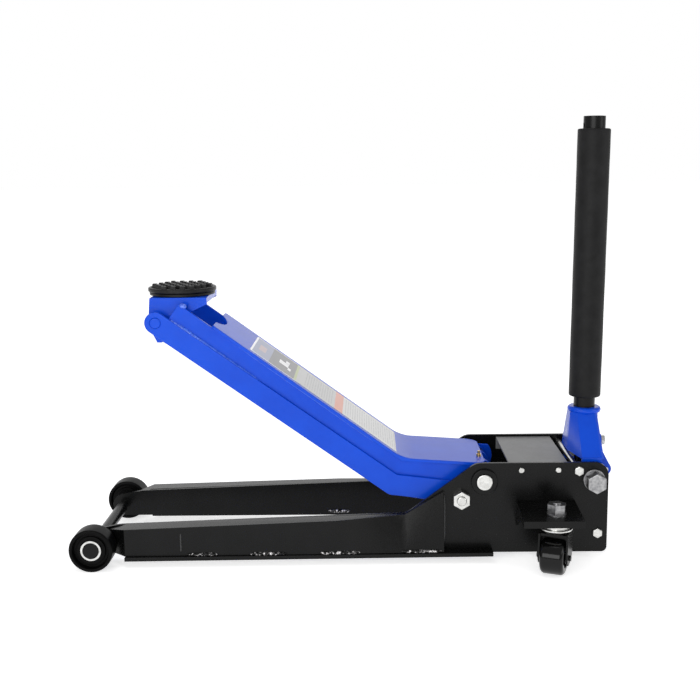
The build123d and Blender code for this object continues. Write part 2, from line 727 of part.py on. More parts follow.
# Bosses on the shaft inside the side plates.
with BuildPart() as boss:
    add(bar_across(18.0, -arm_side_inner, -arm_side_inner + 10.0, lift_pivot))
    add(bar_across(lift_shaft_radius + running_fit, -arm_side_inner, 0, lift_pivot), mode=Mode.SUBTRACT)
with BuildPart() as arm_bosses:
    add(boss.part)
    mirror(about=Plane.XZ)
save(arm_bosses.part, "arm_bosses")

# Drive lugs: two thick plates under the top plate that carry the drive pin.
lug_inner = 20.0
lug_sheet = 10.0
with BuildPart() as lug:
    with BuildSketch(side_view(-lug_inner)):
        with Locations(lift_pivot):
            Circle(18.0)
        with Locations(drive_pin_at):
            Circle(drive_pin_radius + 5.0)
        make_hull()
        with BuildLine():
            Polyline(
                plus(top_rear, sheet_rear, (-6.0, 6.0 * rear_slope)), plus(lift_pivot, (8.0, 0.0)),
                plus(drive_pin_at, (-6.0, 12.0)), plus(bend_top, sheet_bend, (70.0, -40.0)),
                plus(bend_top, sheet_bend, (30.0, -30.0 * rear_slope)), close=True,
            )
        make_face()
        with Locations(lift_pivot):
            Circle(lift_shaft_radius + running_fit, mode=Mode.SUBTRACT)
        with Locations(drive_pin_at):
            Circle(drive_pin_radius, mode=Mode.SUBTRACT)
    extrude(amount=lug_sheet)
with BuildPart() as drive_lugs:
    add(lug.part)
    mirror(about=Plane.XZ)
save(drive_lugs.part, "drive_lugs")

drive_pin_end = spring_y + 4.0
save(bar_across(drive_pin_radius, -drive_pin_end, drive_pin_end, drive_pin_at), "drive_pin")

with BuildPart() as tip_pin:
    add(bar_across(tip_pin_radius, -doubler_outer - 1.0, doubler_outer + 1.0, saddle_pin))
    chamfer(tip_pin.edges().filter_by(GeomType.CIRCLE), 1.0)
save(tip_pin.part, "tip_pin")

# Grease nipple at the rear of the top plate.
nipple_at = plus(top_rear, (-3.0, 0.2))
with BuildPart() as grease_nipple:
    with BuildSketch(Plane(origin=(nipple_at[0] - 4.0, -33.0, nipple_at[1]))):
        Circle(3.5)
    extrude(amount=4.0)
    with BuildSketch(Plane(origin=(nipple_at[0] - 4.0, -33.0, nipple_at[1] + 4.0))):
        Circle(2.0)
    extrude(amount=5.0)
    add(arm_top_plate.part, mode=Mode.SUBTRACT)
save(grease_nipple.part, "grease_nipple")

# ------------------------------------------------------------------ saddle
# Bracket: two cheeks and a top, pivoting on the saddle pin; the links hold it level.
cheek_outer = 52.0
cheek_sheet = 6.0
bracket_top = saddle_pin[1] + saddle_top_above_pin - 16.0
bracket_front = saddle_pin[0] - 10.0
bracket_rear = saddle_pin[0] + 74.0
link_pin_radius = 4.0
with BuildPart() as saddle_bracket:
    with BuildSketch(side_view(cheek_outer)):
        with BuildLine():
            Polyline(
                (bracket_front, bracket_top), (bracket_rear, bracket_top),
                (bracket_rear, bracket_top - 10.0),
                plus(saddle_pin, (13.0, -2.0)), plus(link_pin, (8.0, -2.0)), plus(link_pin, (3.0, -8.0)),
                plus(link_pin, (-4.0, -8.0)), plus(link_pin, (-9.0, 2.0)), plus(saddle_pin, (-13.0, -2.0)),
                (bracket_front - 2.0, saddle_pin[1] + 12.0), close=True,
            )
        make_face()
    extrude(amount=2 * cheek_outer)
    with BuildSketch(side_view(cheek_outer - cheek_sheet)):
        with Locations(((bracket_front + bracket_rear) / 2, bracket_top - 8.0)):
            Rectangle(140.0, 120.0, align=(Align.CENTER, Align.MAX))
    extrude(amount=2 * (cheek_outer - cheek_sheet), mode=Mode.SUBTRACT)
    add(bar_across(tip_pin_radius + 5.0, -cheek_outer, cheek_outer, saddle_pin))
    add(bar_across(tip_pin_radius + running_fit, -cheek_outer, cheek_outer, saddle_pin), mode=Mode.SUBTRACT)
    add(bar_across(link_pin_radius, -cheek_outer, cheek_outer, link_pin))
    with BuildSketch(Plane(origin=(saddle_pin[0] + saddle_behind_pin, 0, bracket_top))):
        Circle(15.0 + running_fit)
    extrude(amount=-20.0, mode=Mode.SUBTRACT)
save(saddle_bracket.part, "saddle_bracket")

# Links: two bent flat bars from the anchor bar to the bracket's lower pin. Their front holes are
# larger than the pin.
link_bend = plus(bend_bottom, (6.0, 27.0))
link_eye = 7.5
link_half = 6.0
link_pin_play = 0.6
with BuildPart() as link:
    for near, far in ((link_anchor, link_bend), (link_bend, link_pin)):
        with BuildSketch(side_view(-link_inner)):
            with Locations(near, far):
                Circle(link_half)
            make_hull()
        extrude(amount=link_sheet)
    for eye, hole in (
        (link_anchor, link_bar_radius + running_fit),
        (link_pin, link_pin_radius + link_pin_play),
    ):
        add(bar_across(link_eye, -link_inner - link_sheet, -link_inner, eye))
        add(bar_across(hole, -link_inner - link_sheet, -link_inner, eye), mode=Mode.SUBTRACT)
with BuildPart() as link_rods:
    add(link.part)
    mirror(about=Plane.XZ)
save(link_rods.part, "link_rods")

# Saddle: steel cup with a spigot in the bracket, and a rubber pad on it.
saddle_x = saddle_pin[0] + saddle_behind_pin
saddle_top = saddle_pin[1] + saddle_top_above_pin
cup_height = 4.0
stud_height = 2.5
with BuildPart() as saddle:
    with BuildSketch(Plane(origin=(saddle_x, 0, bracket_top + side_play))):
        Circle(saddle_radius - 2.0)
    extrude(amount=cup_height)
    with BuildSketch(Plane(origin=(saddle_x, 0, bracket_top + side_play))):
        Circle(15.0)
    extrude(amount=-15.0)
save(saddle.part, "saddle")

pad_bottom = bracket_top + side_play + cup_height + soft_gap
with BuildPart() as saddle_pad:
    with BuildSketch(Plane(origin=(saddle_x, 0, pad_bottom))):
        Circle(saddle_radius)
    extrude(amount=saddle_top - stud_height - pad_bottom)
    fillet(saddle_pad.edges().filter_by(GeomType.CIRCLE), 1.5)
    with BuildSketch(Plane(origin=(saddle_x, 0, saddle_top - stud_height))):
        with PolarLocations(saddle_radius - 9.0, 18):
            Circle(3.5)
        with PolarLocations(saddle_radius - 21.0, 12):
            Circle(3.5)
        with PolarLocations(saddle_radius - 34.0, 6):
            Circle(3.5)
        Circle(3.5)
    extrude(amount=stud_height, taper=12)
save(saddle_pad.part, "saddle_pad")

# ------------------------------------------------------------------ handle socket
# Its own frame: origin on the pivot, local z up the handle, leaning back with it.
lean = math.radians(handle_lean)
socket_frame = Plane(origin=(handle_x, 0, handle_z), x_dir=(math.cos(lean), 0, -math.sin(lean)),
                     z_dir=(math.sin(lean), 0, math.cos(lean)))
barrel_radius = 21.0
barrel_bore = handle_tube_radius + running_fit
barrel_top = 92.0
barrel_foot = 30.0
yoke_outer = frame_inner - 5.0
yoke_sheet = 7.0
clamp_height = 38.0


def on_handle(height, forward=0.0, y=0.0):
    """Plane square to the handle at a height above its pivot."""
    return Plane(origin=socket_frame.from_local_coords((forward, y, height)), x_dir=socket_frame.x_dir,
                 z_dir=socket_frame.z_dir)


def handle_bar(radius, start, end):
    """Round bar along the handle between two heights."""
    with BuildPart() as bar:
        with BuildSketch(on_handle(start)):
            Circle(radius)
        extrude(amount=end - start)
    return bar.part


roller_at = (handle_x + roller_arm, handle_z)
cheek_side = Plane(origin=(handle_x, -yoke_outer + yoke_sheet, handle_z), x_dir=socket_frame.x_dir,
                   z_dir=(0, -1, 0))


def yoke_outline(front, front_half, corner, side_half, rear):
    """Eight corners of a section of the yoke, (forward, y), with a flat front and slanting corners."""
    right = [(front, front_half), (corner, side_half), (rear, side_half), (rear + 4.0, side_half - 5.0)]
    return right + [(x, -y) for x, y in reversed(right)]


def yoke_shell(inset, foot_height):
    """Solid of the flared yoke: octagonal under the collar, wide at the foot."""
    top = yoke_outline(inset - 23.0, 11.0 - inset / 3, inset / 2 - 15.0, 22.0 - inset, 12.0 - inset)
    foot = yoke_outline(inset - 28.0, 22.0, inset / 2 - 16.0, yoke_outer - inset, 13.0 - inset)
    with BuildPart() as shell:
        with BuildSketch(on_handle(barrel_top - 7.0)):
            with BuildLine():
                Polyline(top, close=True)
            make_face()
        with BuildSketch(on_handle(foot_height)):
            with BuildLine():
                Polyline(foot, close=True)
            make_face()
        loft(ruled=True)
    return shell.part


shell_outside = yoke_shell(0.0, 28.0)
shell_inside = yoke_shell(5.0, 27.0)
with BuildPart() as cheek:
    with BuildSketch(cheek_side):
        with BuildLine():
            Polyline((-16.0, 30.0), (13.0, 30.0), (16.0, 0.0), (-16.0, 0.0), close=True)
        make_face()
        Circle(16.0)
        Circle(socket_bolt_radius + running_fit, mode=Mode.SUBTRACT)
    extrude(amount=yoke_sheet)
lug_y = (9.0, 28.0)
lug_wall = 4.0
roller_lug_solids = []
for y in lug_y:
    with BuildPart() as roller_lug:
        with BuildSketch(Plane(origin=(handle_x, -y, handle_z), x_dir=(1, 0, 0), z_dir=(0, -1, 0))):
            with Locations((roller_arm, 0.0)):
                Circle(roller_radius - 1.0)
            with Locations((14.0, 34.0)):
                Circle(6.0)
            make_hull()
        extrude(amount=lug_wall)
    roller_lug_solids.append(roller_lug.part)
barrel_solid = handle_bar(barrel_radius, barrel_foot, barrel_top)
collar_height = 9.0
with BuildPart() as socket_collar:
    with BuildSketch(on_handle(barrel_top - collar_height)):
        Circle(barrel_radius + 4.0)
    extrude(amount=collar_height)
    fillet(socket_collar.edges(), 4.0)
barrel_hole = handle_bar(barrel_bore, -10.0, barrel_top + 10.0)
clamp_boss_end = 27.0
clamp_hole_plane = Plane(origin=socket_frame.from_local_coords((0, 0, clamp_height)), x_dir=(0, 1, 0),
                         z_dir=socket_frame.x_dir)
with BuildPart() as clamp_bolt:
    with BuildSketch(clamp_hole_plane.offset(13.3)):
        Circle(4.0)
    extrude(amount=clamp_boss_end - 13.3)
    with BuildSketch(clamp_hole_plane.offset(clamp_boss_end)):
        RegularPolygon(7.0, 6, major_radius=False)
    extrude(amount=6.0)
save(clamp_bolt.part, "clamp_bolt")

with BuildPart() as handle_socket:
    add(shell_outside)
    add(shell_inside, mode=Mode.SUBTRACT)
    add(barrel_solid)
    add(socket_collar.part)
    add(cheek.part)
    add(cheek.part.mirror(Plane.XZ))
    add(roller_lug_solids)
    add([lug_solid.mirror(Plane.XZ) for lug_solid in roller_lug_solids])
    with BuildSketch(clamp_hole_plane.offset(17.0)):
        Circle(9.0)
    extrude(amount=clamp_boss_end - 17.0)
    add(barrel_hole, mode=Mode.SUBTRACT)
    add(bar_across(4.0, -40.0, 40.0, roller_at), mode=Mode.SUBTRACT)
    with BuildSketch(clamp_hole_plane):
        Circle(4.0)
    extrude(amount=30.0, mode=Mode.SUBTRACT)
save(handle_socket.part, "handle_socket")

# Rollers that push the plungers down, on one pin through the socket's lugs.
roller_half = (lug_y[1] - lug_y[0] - lug_wall) / 2 - side_play
roller_middle = (lug_y[1] + lug_y[0] + lug_wall) / 2
with BuildPart() as pump_rollers:
    add(bar_across(roller_radius, -roller_middle - roller_half, -roller_middle + roller_half, roller_at))
    add(bar_across(4.0 + running_fit, -40.0, 40.0, roller_at), mode=Mode.SUBTRACT)
    mirror(about=Plane.XZ)
save(pump_rollers.part, "pump_rollers")
save(bar_across(4.0, -lug_y[1] - lug_wall - 4.0, lug_y[1] + lug_wall + 4.0, roller_at), "roller_pin")

# Pivot bolts of the socket: big heads on lock washers outside the plates.
bolt_head_solid = hexagon_across(26.0, -plate_outer - 24.0, -plate_outer - 4.0, handle_pivot)
with BuildPart() as socket_bolts:
    add(bolt_head_solid)
    add(bar_across(socket_bolt_radius, -plate_outer - 4.0, -yoke_outer + yoke_sheet + 1.0, handle_pivot))
    mirror(about=Plane.XZ)
save(socket_bolts.part, "socket_bolts")

with BuildPart() as washer:
    add(bar_across(16.0, -plate_outer - 4.0, -plate_outer, handle_pivot))
    add(bar_across(socket_bolt_radius, -plate_outer - 4.0, 0, handle_pivot), mode=Mode.SUBTRACT)
with BuildPart() as socket_washers:
    add(washer.part)
    mirror(about=Plane.XZ)
save(socket_washers.part, "socket_washers")

# ------------------------------------------------------------------ handle
tube_foot = 48.0
joint_bore = 14.4                # the upper handle plugs into this end
joint_depth = 100.0
button_hole = 4.5
button_plane = Plane(origin=socket_frame.from_local_coords((0, 0, handle_length - 14.0)),
                     x_dir=(0, 1, 0), z_dir=-socket_frame.x_dir)
with BuildPart() as handle_tube:
    add(handle_bar(handle_tube_radius, tube_foot, handle_length))
    add(handle_bar(handle_tube_radius - handle_tube_wall, tube_foot, handle_length), mode=Mode.SUBTRACT)
    add(handle_bar(joint_bore, handle_length - joint_depth, handle_length), mode=Mode.SUBTRACT)
    with BuildSketch(button_plane):
        Circle(button_hole)
    extrude(amount=30.0, mode=Mode.SUBTRACT)
save(handle_tube.part, "handle_tube")

# Driver: a plug in the tube's foot, grooved for the clamp bolt, with a slotted cup round the
# spindle's ball.
cup_foot = -3.0
groove_half = 4.3
driver_solids = [
    handle_bar(handle_tube_radius - handle_tube_wall, tube_foot, tube_foot + 27.0),
    handle_bar(handle_tube_radius - 0.5, 29.0, clamp_height - groove_half),
    handle_bar(12.5, clamp_height - groove_half, clamp_height + groove_half),
    handle_bar(handle_tube_radius - 0.5, clamp_height + groove_half, tube_foot),
    handle_bar(driver_radius, cup_foot, 29.0),
]
cup_bore = handle_bar(driver_bore, cup_foot, 14.0)
with BuildPart() as handle_driver:
    add(driver_solids)
    add(cup_bore, mode=Mode.SUBTRACT)
    with BuildSketch(on_handle(cup_foot)):
        Rectangle(10.0, 2 * driver_radius + 2.0)
    extrude(amount=13.0, mode=Mode.SUBTRACT)
save(handle_driver.part, "handle_driver")

with BuildPart() as foam_sleeve:
    add(handle_bar(foam_radius, foam_start, foam_end))
    fillet(foam_sleeve.edges(), 2.0)
    add(handle_bar(handle_tube_radius + soft_gap, foam_start - 1.0, foam_end + 1.0), mode=Mode.SUBTRACT)
save(foam_sleeve.part, "foam_sleeve")

# ------------------------------------------------------------------ springs
# Helical coils: return springs from the drive pin back to the cradle, and plunger springs.
spring_wire = 1.1


def coil(plane, radius, length, turns):
    """Open helical spring of round wire standing on a plane."""
    path = Helix(pitch=length / turns, height=length, radius=radius)
    start = path @ 0
    with BuildPart() as spring:
        with BuildSketch(Plane(origin=start, z_dir=path % 0)):
            Circle(spring_wire)
        sweep(path=path, is_frenet=True)
    return plane.from_local_coords(spring.part)


return_start = drive_pin_at[0] + drive_pin_radius + spring_wire + 1.0
return_length = cradle_front - return_start - spring_wire - 0.5
return_frame = Plane(origin=(return_start, -spring_y, ram_axis_z), x_dir=(0, 1, 0), z_dir=(1, 0, 0))
return_coil = coil(return_frame, 4.5, return_length, 14)
with BuildPart() as return_springs:
    add(return_coil)
    mirror(about=Plane.XZ)
save(return_springs.part, "return_springs")

plunger_coils = []
coil_height = gland_top - head_foot - 2 * spring_wire - 0.4
for y in (-plunger_spacing, plunger_spacing):
    seat = pump_plane(plunger_foot, head_foot + spring_wire + 0.2, y)
    plunger_coils.append(coil(seat, plunger_radius + spring_wire + 0.6, coil_height, 6))
with BuildPart() as plunger_springs:
    add(plunger_coils)
save(plunger_springs.part, "plunger_springs")

# ------------------------------------------------------------------ rear casters
# Bracket outside each plate: a bent shelf with a turned-down lip and two gussets.
shelf_half = 43.0
shelf_x = rear_edge - 92.0
shelf_sheet = 5.0
shelf_out = plate_outer + 77.0
shelf_root = shelf_top + 6.0
gusset_sheet = 4.0
race_radius = 23.5
stud_radius = 6.0
shelf_slope = (shelf_root - shelf_top) / (shelf_out - plate_outer)
lip_foot = shelf_top - 10.0


def shelf_section(x):
    """Plane square to the jack's length: local x runs outwards on the left side, local y up."""
    return Plane(origin=(x, 0, 0), x_dir=(0, -1, 0), z_dir=(-1, 0, 0))


with BuildPart() as shelf:
    with BuildSketch(shelf_section(shelf_x + shelf_half)):
        with BuildLine():
            Polyline(
                (plate_outer, shelf_root), (shelf_out, shelf_top), (shelf_out, lip_foot),
                (shelf_out - shelf_sheet, lip_foot), (shelf_out - shelf_sheet, shelf_top - shelf_sheet),
                (plate_outer, shelf_root - shelf_sheet), close=True,
            )
        make_face()
    extrude(amount=2 * shelf_half)
    for x in (shelf_x + shelf_half, shelf_x - shelf_half + gusset_sheet):
        with BuildSketch(shelf_section(x)):
            with BuildLine():
                Polyline(
                    (plate_outer, shelf_root - 38.0), (plate_outer, shelf_root - 2.0),
                    (shelf_out - 2.0, shelf_top - 2.0), (shelf_out - 2.0, lip_foot),
                )
                ThreePointArc((shelf_out - 2.0, lip_foot), (plate_outer + 26.0, shelf_top - 17.0),
                              (plate_outer, shelf_root - 38.0))
            make_face()
        extrude(amount=gusset_sheet)
    with BuildSketch(Plane.XY.offset(shelf_top + 3.0)):
        with Locations((caster_x, -caster_out)):
            Circle(stud_radius)
    extrude(amount=-20.0, mode=Mode.SUBTRACT)
with BuildPart() as caster_brackets:
    add(shelf.part)
    mirror(about=Plane.XZ)
save(caster_brackets.part, "caster_brackets")


def upright(radius, z_start, z_end):
    """Round bar on the left caster's swivel axis."""
    with BuildPart() as bar:
        with BuildSketch(Plane.XY.offset(z_start)):
            with Locations((caster_x, -caster_out)):
                Circle(radius)
        extrude(amount=z_end - z_start)
    return bar.part


# Bearing races: a cap set against the shelf and a dished bowl under it. The stud and its nut
# hold them.
shelf_at_stud = shelf_top + (shelf_out - caster_out) * shelf_slope
race_top = shelf_at_stud - shelf_sheet
race_rim = 66.0
race_foot = 60.0
with BuildPart() as race:
    add(upright(race_radius - 4.0, race_rim, race_top + 2.0))
    add(upright(race_radius, race_rim - 2.0, race_rim))
    with BuildSketch(Plane.XY.offset(race_rim - 2.0)):
        with Locations((caster_x, -caster_out)):
            Circle(race_radius)
    extrude(amount=race_foot - race_rim + 2.0, taper=45)
    add(upright(stud_radius, race_foot, race_top + 2.0), mode=Mode.SUBTRACT)
    add(shelf.part, mode=Mode.SUBTRACT)
    with BuildSketch(shelf_section(shelf_x + shelf_half)):
        with BuildLine():
            Polyline(
                (plate_outer, shelf_root), (shelf_out, shelf_top),
                (shelf_out, shelf_top + 20.0), (plate_outer, shelf_root + 20.0), close=True,
            )
        make_face()
    extrude(amount=2 * shelf_half, mode=Mode.SUBTRACT)
with BuildPart() as caster_races:
    add(race.part)
    mirror(about=Plane.XZ)
save(caster_races.part, "caster_races")

nut_foot = shelf_at_stud + 1.0
with BuildPart() as nut:
    with BuildSketch(Plane.XY.offset(nut_foot)):
        with Locations((caster_x, -caster_out)):
            RegularPolygon(12.0, 6, major_radius=False, rotation=12)
    extrude(amount=14.0)
    add(upright(14.0, shelf_at_stud - 3.0, nut_foot))
    add(upright(stud_radius, race_foot, nut_foot + 16.0), mode=Mode.SUBTRACT)
    add(shelf.part, mode=Mode.SUBTRACT)
    with BuildSketch(shelf_section(shelf_x + shelf_half)):
        with BuildLine():
            Polyline(
                (plate_outer, shelf_root - 1.0), (shelf_out, shelf_top - 1.0),
                (shelf_out, 0.0), (plate_outer, 0.0), close=True,
            )
        make_face()
    extrude(amount=2 * shelf_half, mode=Mode.SUBTRACT)
    add(upright(stud_radius, race_foot, nut_foot + 16.0))
with BuildPart() as caster_nuts:
    add(nut.part)
    mirror(about=Plane.XZ)
save(caster_nuts.part, "caster_nuts")

# Fork: a crown under the race and two legs down to the wheel's axle. Its own frame has local x
# along the wheel's axle and local y out towards the trailing side.
turn = math.radians(caster_turn)
axle_along = Vector(math.cos(turn), -math.sin(turn), 0)
trail_dir = Vector(axle_along.Y, -axle_along.X, 0)
wheel_center = Vector(caster_x, -caster_out, caster_wheel_radius) + trail_dir * caster_trail
leg_inner = caster_wheel_width / 2 + 1.5
leg_sheet = 3.0
crown_top = race_foot - side_play


def across_caster(along):
    """Plane square to the caster's axle: local x runs up, local y towards the trailing side."""
    return Plane(origin=wheel_center + axle_along * along, x_dir=(0, 0, 1), z_dir=axle_along)


def caster_bar(radius, start, end):
    """Round bar on the caster wheel's axle line."""
    with BuildPart() as bar:
        with BuildSketch(across_caster(start)):
            Circle(radius)
        extrude(amount=end - start)
    return bar.part


leg_solids = []
for start in (-leg_inner - leg_sheet, leg_inner):
    plane = across_caster(start)
    side = plane.y_dir.dot(trail_dir)
    with BuildPart() as leg:
        with BuildSketch(plane):
            with BuildLine():
                top = crown_top - caster_wheel_radius
                Polyline(
                    (top, side * (-caster_trail - 16.0)), (top, side * (-caster_trail + 20.0)),
                    (0, side * 12.0), (-10.0, side * 6.0), (-10.0, side * -8.0),
                    (-2.0, side * -22.0), close=True,
                )
            make_face()
            Circle(11.0)
        extrude(amount=leg_sheet)
    leg_solids.append(leg.part)
with BuildPart() as crown:
    with BuildSketch(Plane.XY.offset(crown_top)):
        with Locations((caster_x, -caster_out)):
            Circle(18.0)
            Rectangle(2 * (leg_inner + leg_sheet), 36.0, rotation=-caster_turn)
    extrude(amount=-4.0)
axle_pin = caster_bar(4.0, -leg_inner - leg_sheet - 3.0, leg_inner + leg_sheet + 3.0)
with BuildPart() as fork:
    add(crown.part)
    add(leg_solids)
    add(axle_pin, mode=Mode.SUBTRACT)
save(Compound(children=[fork.part, axle_pin]), "caster_fork_left")
save(Compound(children=[fork.part.mirror(Plane.XZ), axle_pin.mirror(Plane.XZ)]), "caster_fork_right")

with BuildPart() as caster_wheel:
    add(caster_bar(caster_wheel_radius, -caster_wheel_width / 2, caster_wheel_width / 2))
    fillet(caster_wheel.edges(), 6.0)
    for start in (-caster_wheel_width / 2, caster_wheel_width / 2 - 3.0):
        add(caster_bar(15.0, start, start + 3.0), mode=Mode.SUBTRACT)
    add(caster_bar(8.0, -caster_wheel_width / 2, caster_wheel_width / 2))
    add(caster_bar(4.0 + running_fit, -caster_wheel_width, caster_wheel_width), mode=Mode.SUBTRACT)
save(caster_wheel.part, "caster_wheel_left")
save(caster_wheel.part.mirror(Plane.XZ), "caster_wheel_right")
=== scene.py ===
import math
import random

import bmesh
import bpy
from mathutils import Matrix, Vector
from mathutils.bvhtree import BVHTree


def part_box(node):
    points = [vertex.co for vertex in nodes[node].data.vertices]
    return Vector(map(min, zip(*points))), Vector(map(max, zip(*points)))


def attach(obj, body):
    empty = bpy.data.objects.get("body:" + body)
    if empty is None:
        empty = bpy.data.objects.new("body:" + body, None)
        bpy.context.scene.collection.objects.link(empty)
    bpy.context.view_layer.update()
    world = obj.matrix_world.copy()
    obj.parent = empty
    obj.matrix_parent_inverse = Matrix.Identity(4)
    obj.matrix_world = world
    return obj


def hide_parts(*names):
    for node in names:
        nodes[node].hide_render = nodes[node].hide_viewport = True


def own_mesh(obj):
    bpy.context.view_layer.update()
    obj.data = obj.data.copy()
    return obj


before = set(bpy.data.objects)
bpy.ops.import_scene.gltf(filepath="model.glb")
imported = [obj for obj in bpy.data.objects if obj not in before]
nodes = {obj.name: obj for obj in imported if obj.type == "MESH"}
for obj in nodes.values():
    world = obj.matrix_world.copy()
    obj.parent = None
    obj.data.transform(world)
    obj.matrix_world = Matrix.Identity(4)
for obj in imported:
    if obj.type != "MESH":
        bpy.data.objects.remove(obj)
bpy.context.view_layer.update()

# ---------------------------------------------------------------- side plates
# Two 5 mm steel plates, cut to outline and bored for the shafts, stand on edge and carry everything.
# They are degreased, primed and sprayed with black stove enamel, which leaves a fine orange peel.


def grained(name, dark, pale, spread, grain, relief, depth, rough, metal=0.0, coat=0.0, shine=0.5):
    """A finish whose tone, gloss and skin all vary with noise in the part's own space, sizes in metres."""
    material = bpy.data.materials.new(name)
    material.use_nodes = True
    tree = material.node_tree
    shader = tree.nodes["Principled BSDF"]
    shader.inputs["Metallic"].default_value = metal
    shader.inputs["Coat Weight"].default_value = coat
    shader.inputs["Coat Roughness"].default_value = 0.12
    shader.inputs["Specular IOR Level"].default_value = shine
    place = tree.nodes.new("ShaderNodeTexCoord")
    clouds = tree.nodes.new("ShaderNodeTexNoise")
    clouds.inputs["Scale"].default_value = 1.0 / spread
    clouds.inputs["Detail"].default_value = 6.0
    clouds.inputs["Roughness"].default_value = 0.62
    tree.links.new(place.outputs["Object"], clouds.inputs["Vector"])
    tone = tree.nodes.new("ShaderNodeValToRGB")
    tone.color_ramp.elements[0].position = 0.32
    tone.color_ramp.elements[0].color = (*dark, 1.0)
    tone.color_ramp.elements[1].position = 0.72
    tone.color_ramp.elements[1].color = (*pale, 1.0)
    tree.links.new(clouds.outputs["Fac"], tone.inputs["Fac"])
    tree.links.new(tone.outputs["Color"], shader.inputs["Base Color"])
    speckle = tree.nodes.new("ShaderNodeTexNoise")
    speckle.inputs["Scale"].default_value = 1.0 / grain
    speckle.inputs["Detail"].default_value = 3.0
    tree.links.new(place.outputs["Object"], speckle.inputs["Vector"])
    gloss = tree.nodes.new("ShaderNodeMapRange")
    gloss.inputs["To Min"].default_value = rough[0]
    gloss.inputs["To Max"].default_value = rough[1]
    tree.links.new(speckle.outputs["Fac"], gloss.inputs["Value"])
    tree.links.new(gloss.outputs["Result"], shader.inputs["Roughness"])
    skin = tree.nodes.new("ShaderNodeTexNoise")
    skin.inputs["Scale"].default_value = 1.0 / relief
    skin.inputs["Detail"].default_value = 2.0
    tree.links.new(place.outputs["Object"], skin.inputs["Vector"])
    bump = tree.nodes.new("ShaderNodeBump")
    bump.inputs["Strength"].default_value = 0.5
    bump.inputs["Distance"].default_value = depth
    tree.links.new(skin.outputs["Fac"], bump.inputs["Height"])
    tree.links.new(bump.outputs["Normal"], shader.inputs["Normal"])
    return material


def made(name, shape, material):
    """Turns a finished shape into an object in its finish."""
    mesh = bpy.data.meshes.new(name)
    shape.to_mesh(mesh)
    shape.free()
    mesh.materials.append(material)
    piece = bpy.data.objects.new(name, mesh)
    bpy.context.collection.objects.link(piece)
    return piece


def eased_copy(node, ease, body, material, turn=32.0):
    """The CAD part welded into one skin, with its flats joined and its sharp edges rounded over."""
    shape = bmesh.new()
    shape.from_mesh(nodes[node].data)
    bmesh.ops.remove_doubles(shape, verts=shape.verts, dist=2e-6)
    bmesh.ops.dissolve_limit(
        shape, angle_limit=math.radians(1.0), verts=shape.verts, edges=shape.edges,
        use_dissolve_boundaries=False)
    for face in shape.faces:
        face.smooth = True
    for edge in shape.edges:
        edge.smooth = not (len(edge.link_faces) == 2 and edge.calc_face_angle(0.0) > math.radians(turn))
    piece = made(node + "_eased", shape, material)
    rounding = piece.modifiers.new("rounding", "BEVEL")
    rounding.width = ease
    rounding.segments = 2
    rounding.limit_method = "ANGLE"
    rounding.angle_limit = math.radians(turn)
    rounding.use_clamp_overlap = True
    rounding.harden_normals = True
    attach(piece, body)
    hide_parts(node)
    return piece


def coated(material, *parts):
    """Gives carried-over CAD parts their finish."""
    for part in parts:
        nodes[part].data.materials.clear()
        nodes[part].data.materials.append(material)


black_enamel = grained(
    "black_enamel", (0.0022, 0.0023, 0.0023), (0.0045, 0.0046, 0.0045), spread=0.045, grain=0.006,
    relief=0.0022, depth=0.00006, rough=(0.22, 0.32), shine=0.17)
for side in ("left", "right"):
    eased_copy("side_plate_" + side, 0.0007, "frame", black_enamel)

# ---------------------------------------------------------------- box rails
# A bent 4 mm sheet outside each plate closes it into a box. Its foot is tacked to the base strip
# by hand in short runs, where bare bright metal and spatter show through the enamel.
eased_copy("rails", 0.0009, "frame", black_enamel)
eased_copy("base_strips", 0.0006, "frame", black_enamel)
weld_black = grained(
    "welded_black", (0.004, 0.004, 0.004), (0.03, 0.03, 0.031), spread=0.004, grain=0.002,
    relief=0.0009, depth=0.0001, rough=(0.22, 0.5), metal=0.25, coat=0.3)
weld_patchy = grained(
    "welded_patchy", (0.004, 0.004, 0.004), (0.72, 0.70, 0.70), spread=0.0045, grain=0.0015,
    relief=0.0008, depth=0.00012, rough=(0.2, 0.4), metal=0.6)
for element, bare_from in zip(
        weld_patchy.node_tree.nodes["Color Ramp"].color_ramp.elements, (0.52, 0.60)):
    element.position = bare_from


def weld_bead(name, start, end, radius, body, material, ripple=0.0034, seed=1):
    """A run of weld laid from start to end: rings along the seam, each ripple humped, the ends drawn in."""
    random.seed(seed)
    start, end = Vector(start), Vector(end)
    run = end - start
    along = run.normalized()
    steps = max(6, int(run.length / ripple) * 3)
    shape = bmesh.new()
    across = along.orthogonal().normalized()
    over = along.cross(across)
    last = None
    for step in range(steps + 1):
        part = step / steps
        hump = 0.5 + 0.5 * math.cos(2 * math.pi * part * run.length / ripple)
        fade = min(1.0, 0.35 + 5.0 * min(part, 1.0 - part))
        size = radius * fade * (0.82 + 0.22 * hump + random.uniform(-0.05, 0.05))
        stray = (across * random.uniform(-0.07, 0.07) * radius
                 + over * random.uniform(-0.07, 0.07) * radius)
        ring = bmesh.ops.create_circle(
            shape, cap_ends=False, segments=10, radius=size,
            matrix=Matrix.Translation(start + run * part + stray) @ Matrix(
                (across, over, along)).transposed().to_4x4())["verts"]
        edges = list({edge for vert in ring for edge in vert.link_edges
                      if all(end_vert in ring for end_vert in edge.verts)})
        if last is None:
            bmesh.ops.contextual_create(shape, geom=edges)
        else:
            bmesh.ops.bridge_loops(shape, edges=last + edges)
        last = edges
    bmesh.ops.contextual_create(shape, geom=last)
    bmesh.ops.recalc_face_normals(shape, faces=shape.faces)
    for face in shape.faces:
        face.smooth = True
    bead = made(name, shape, material)
    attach(bead, body)


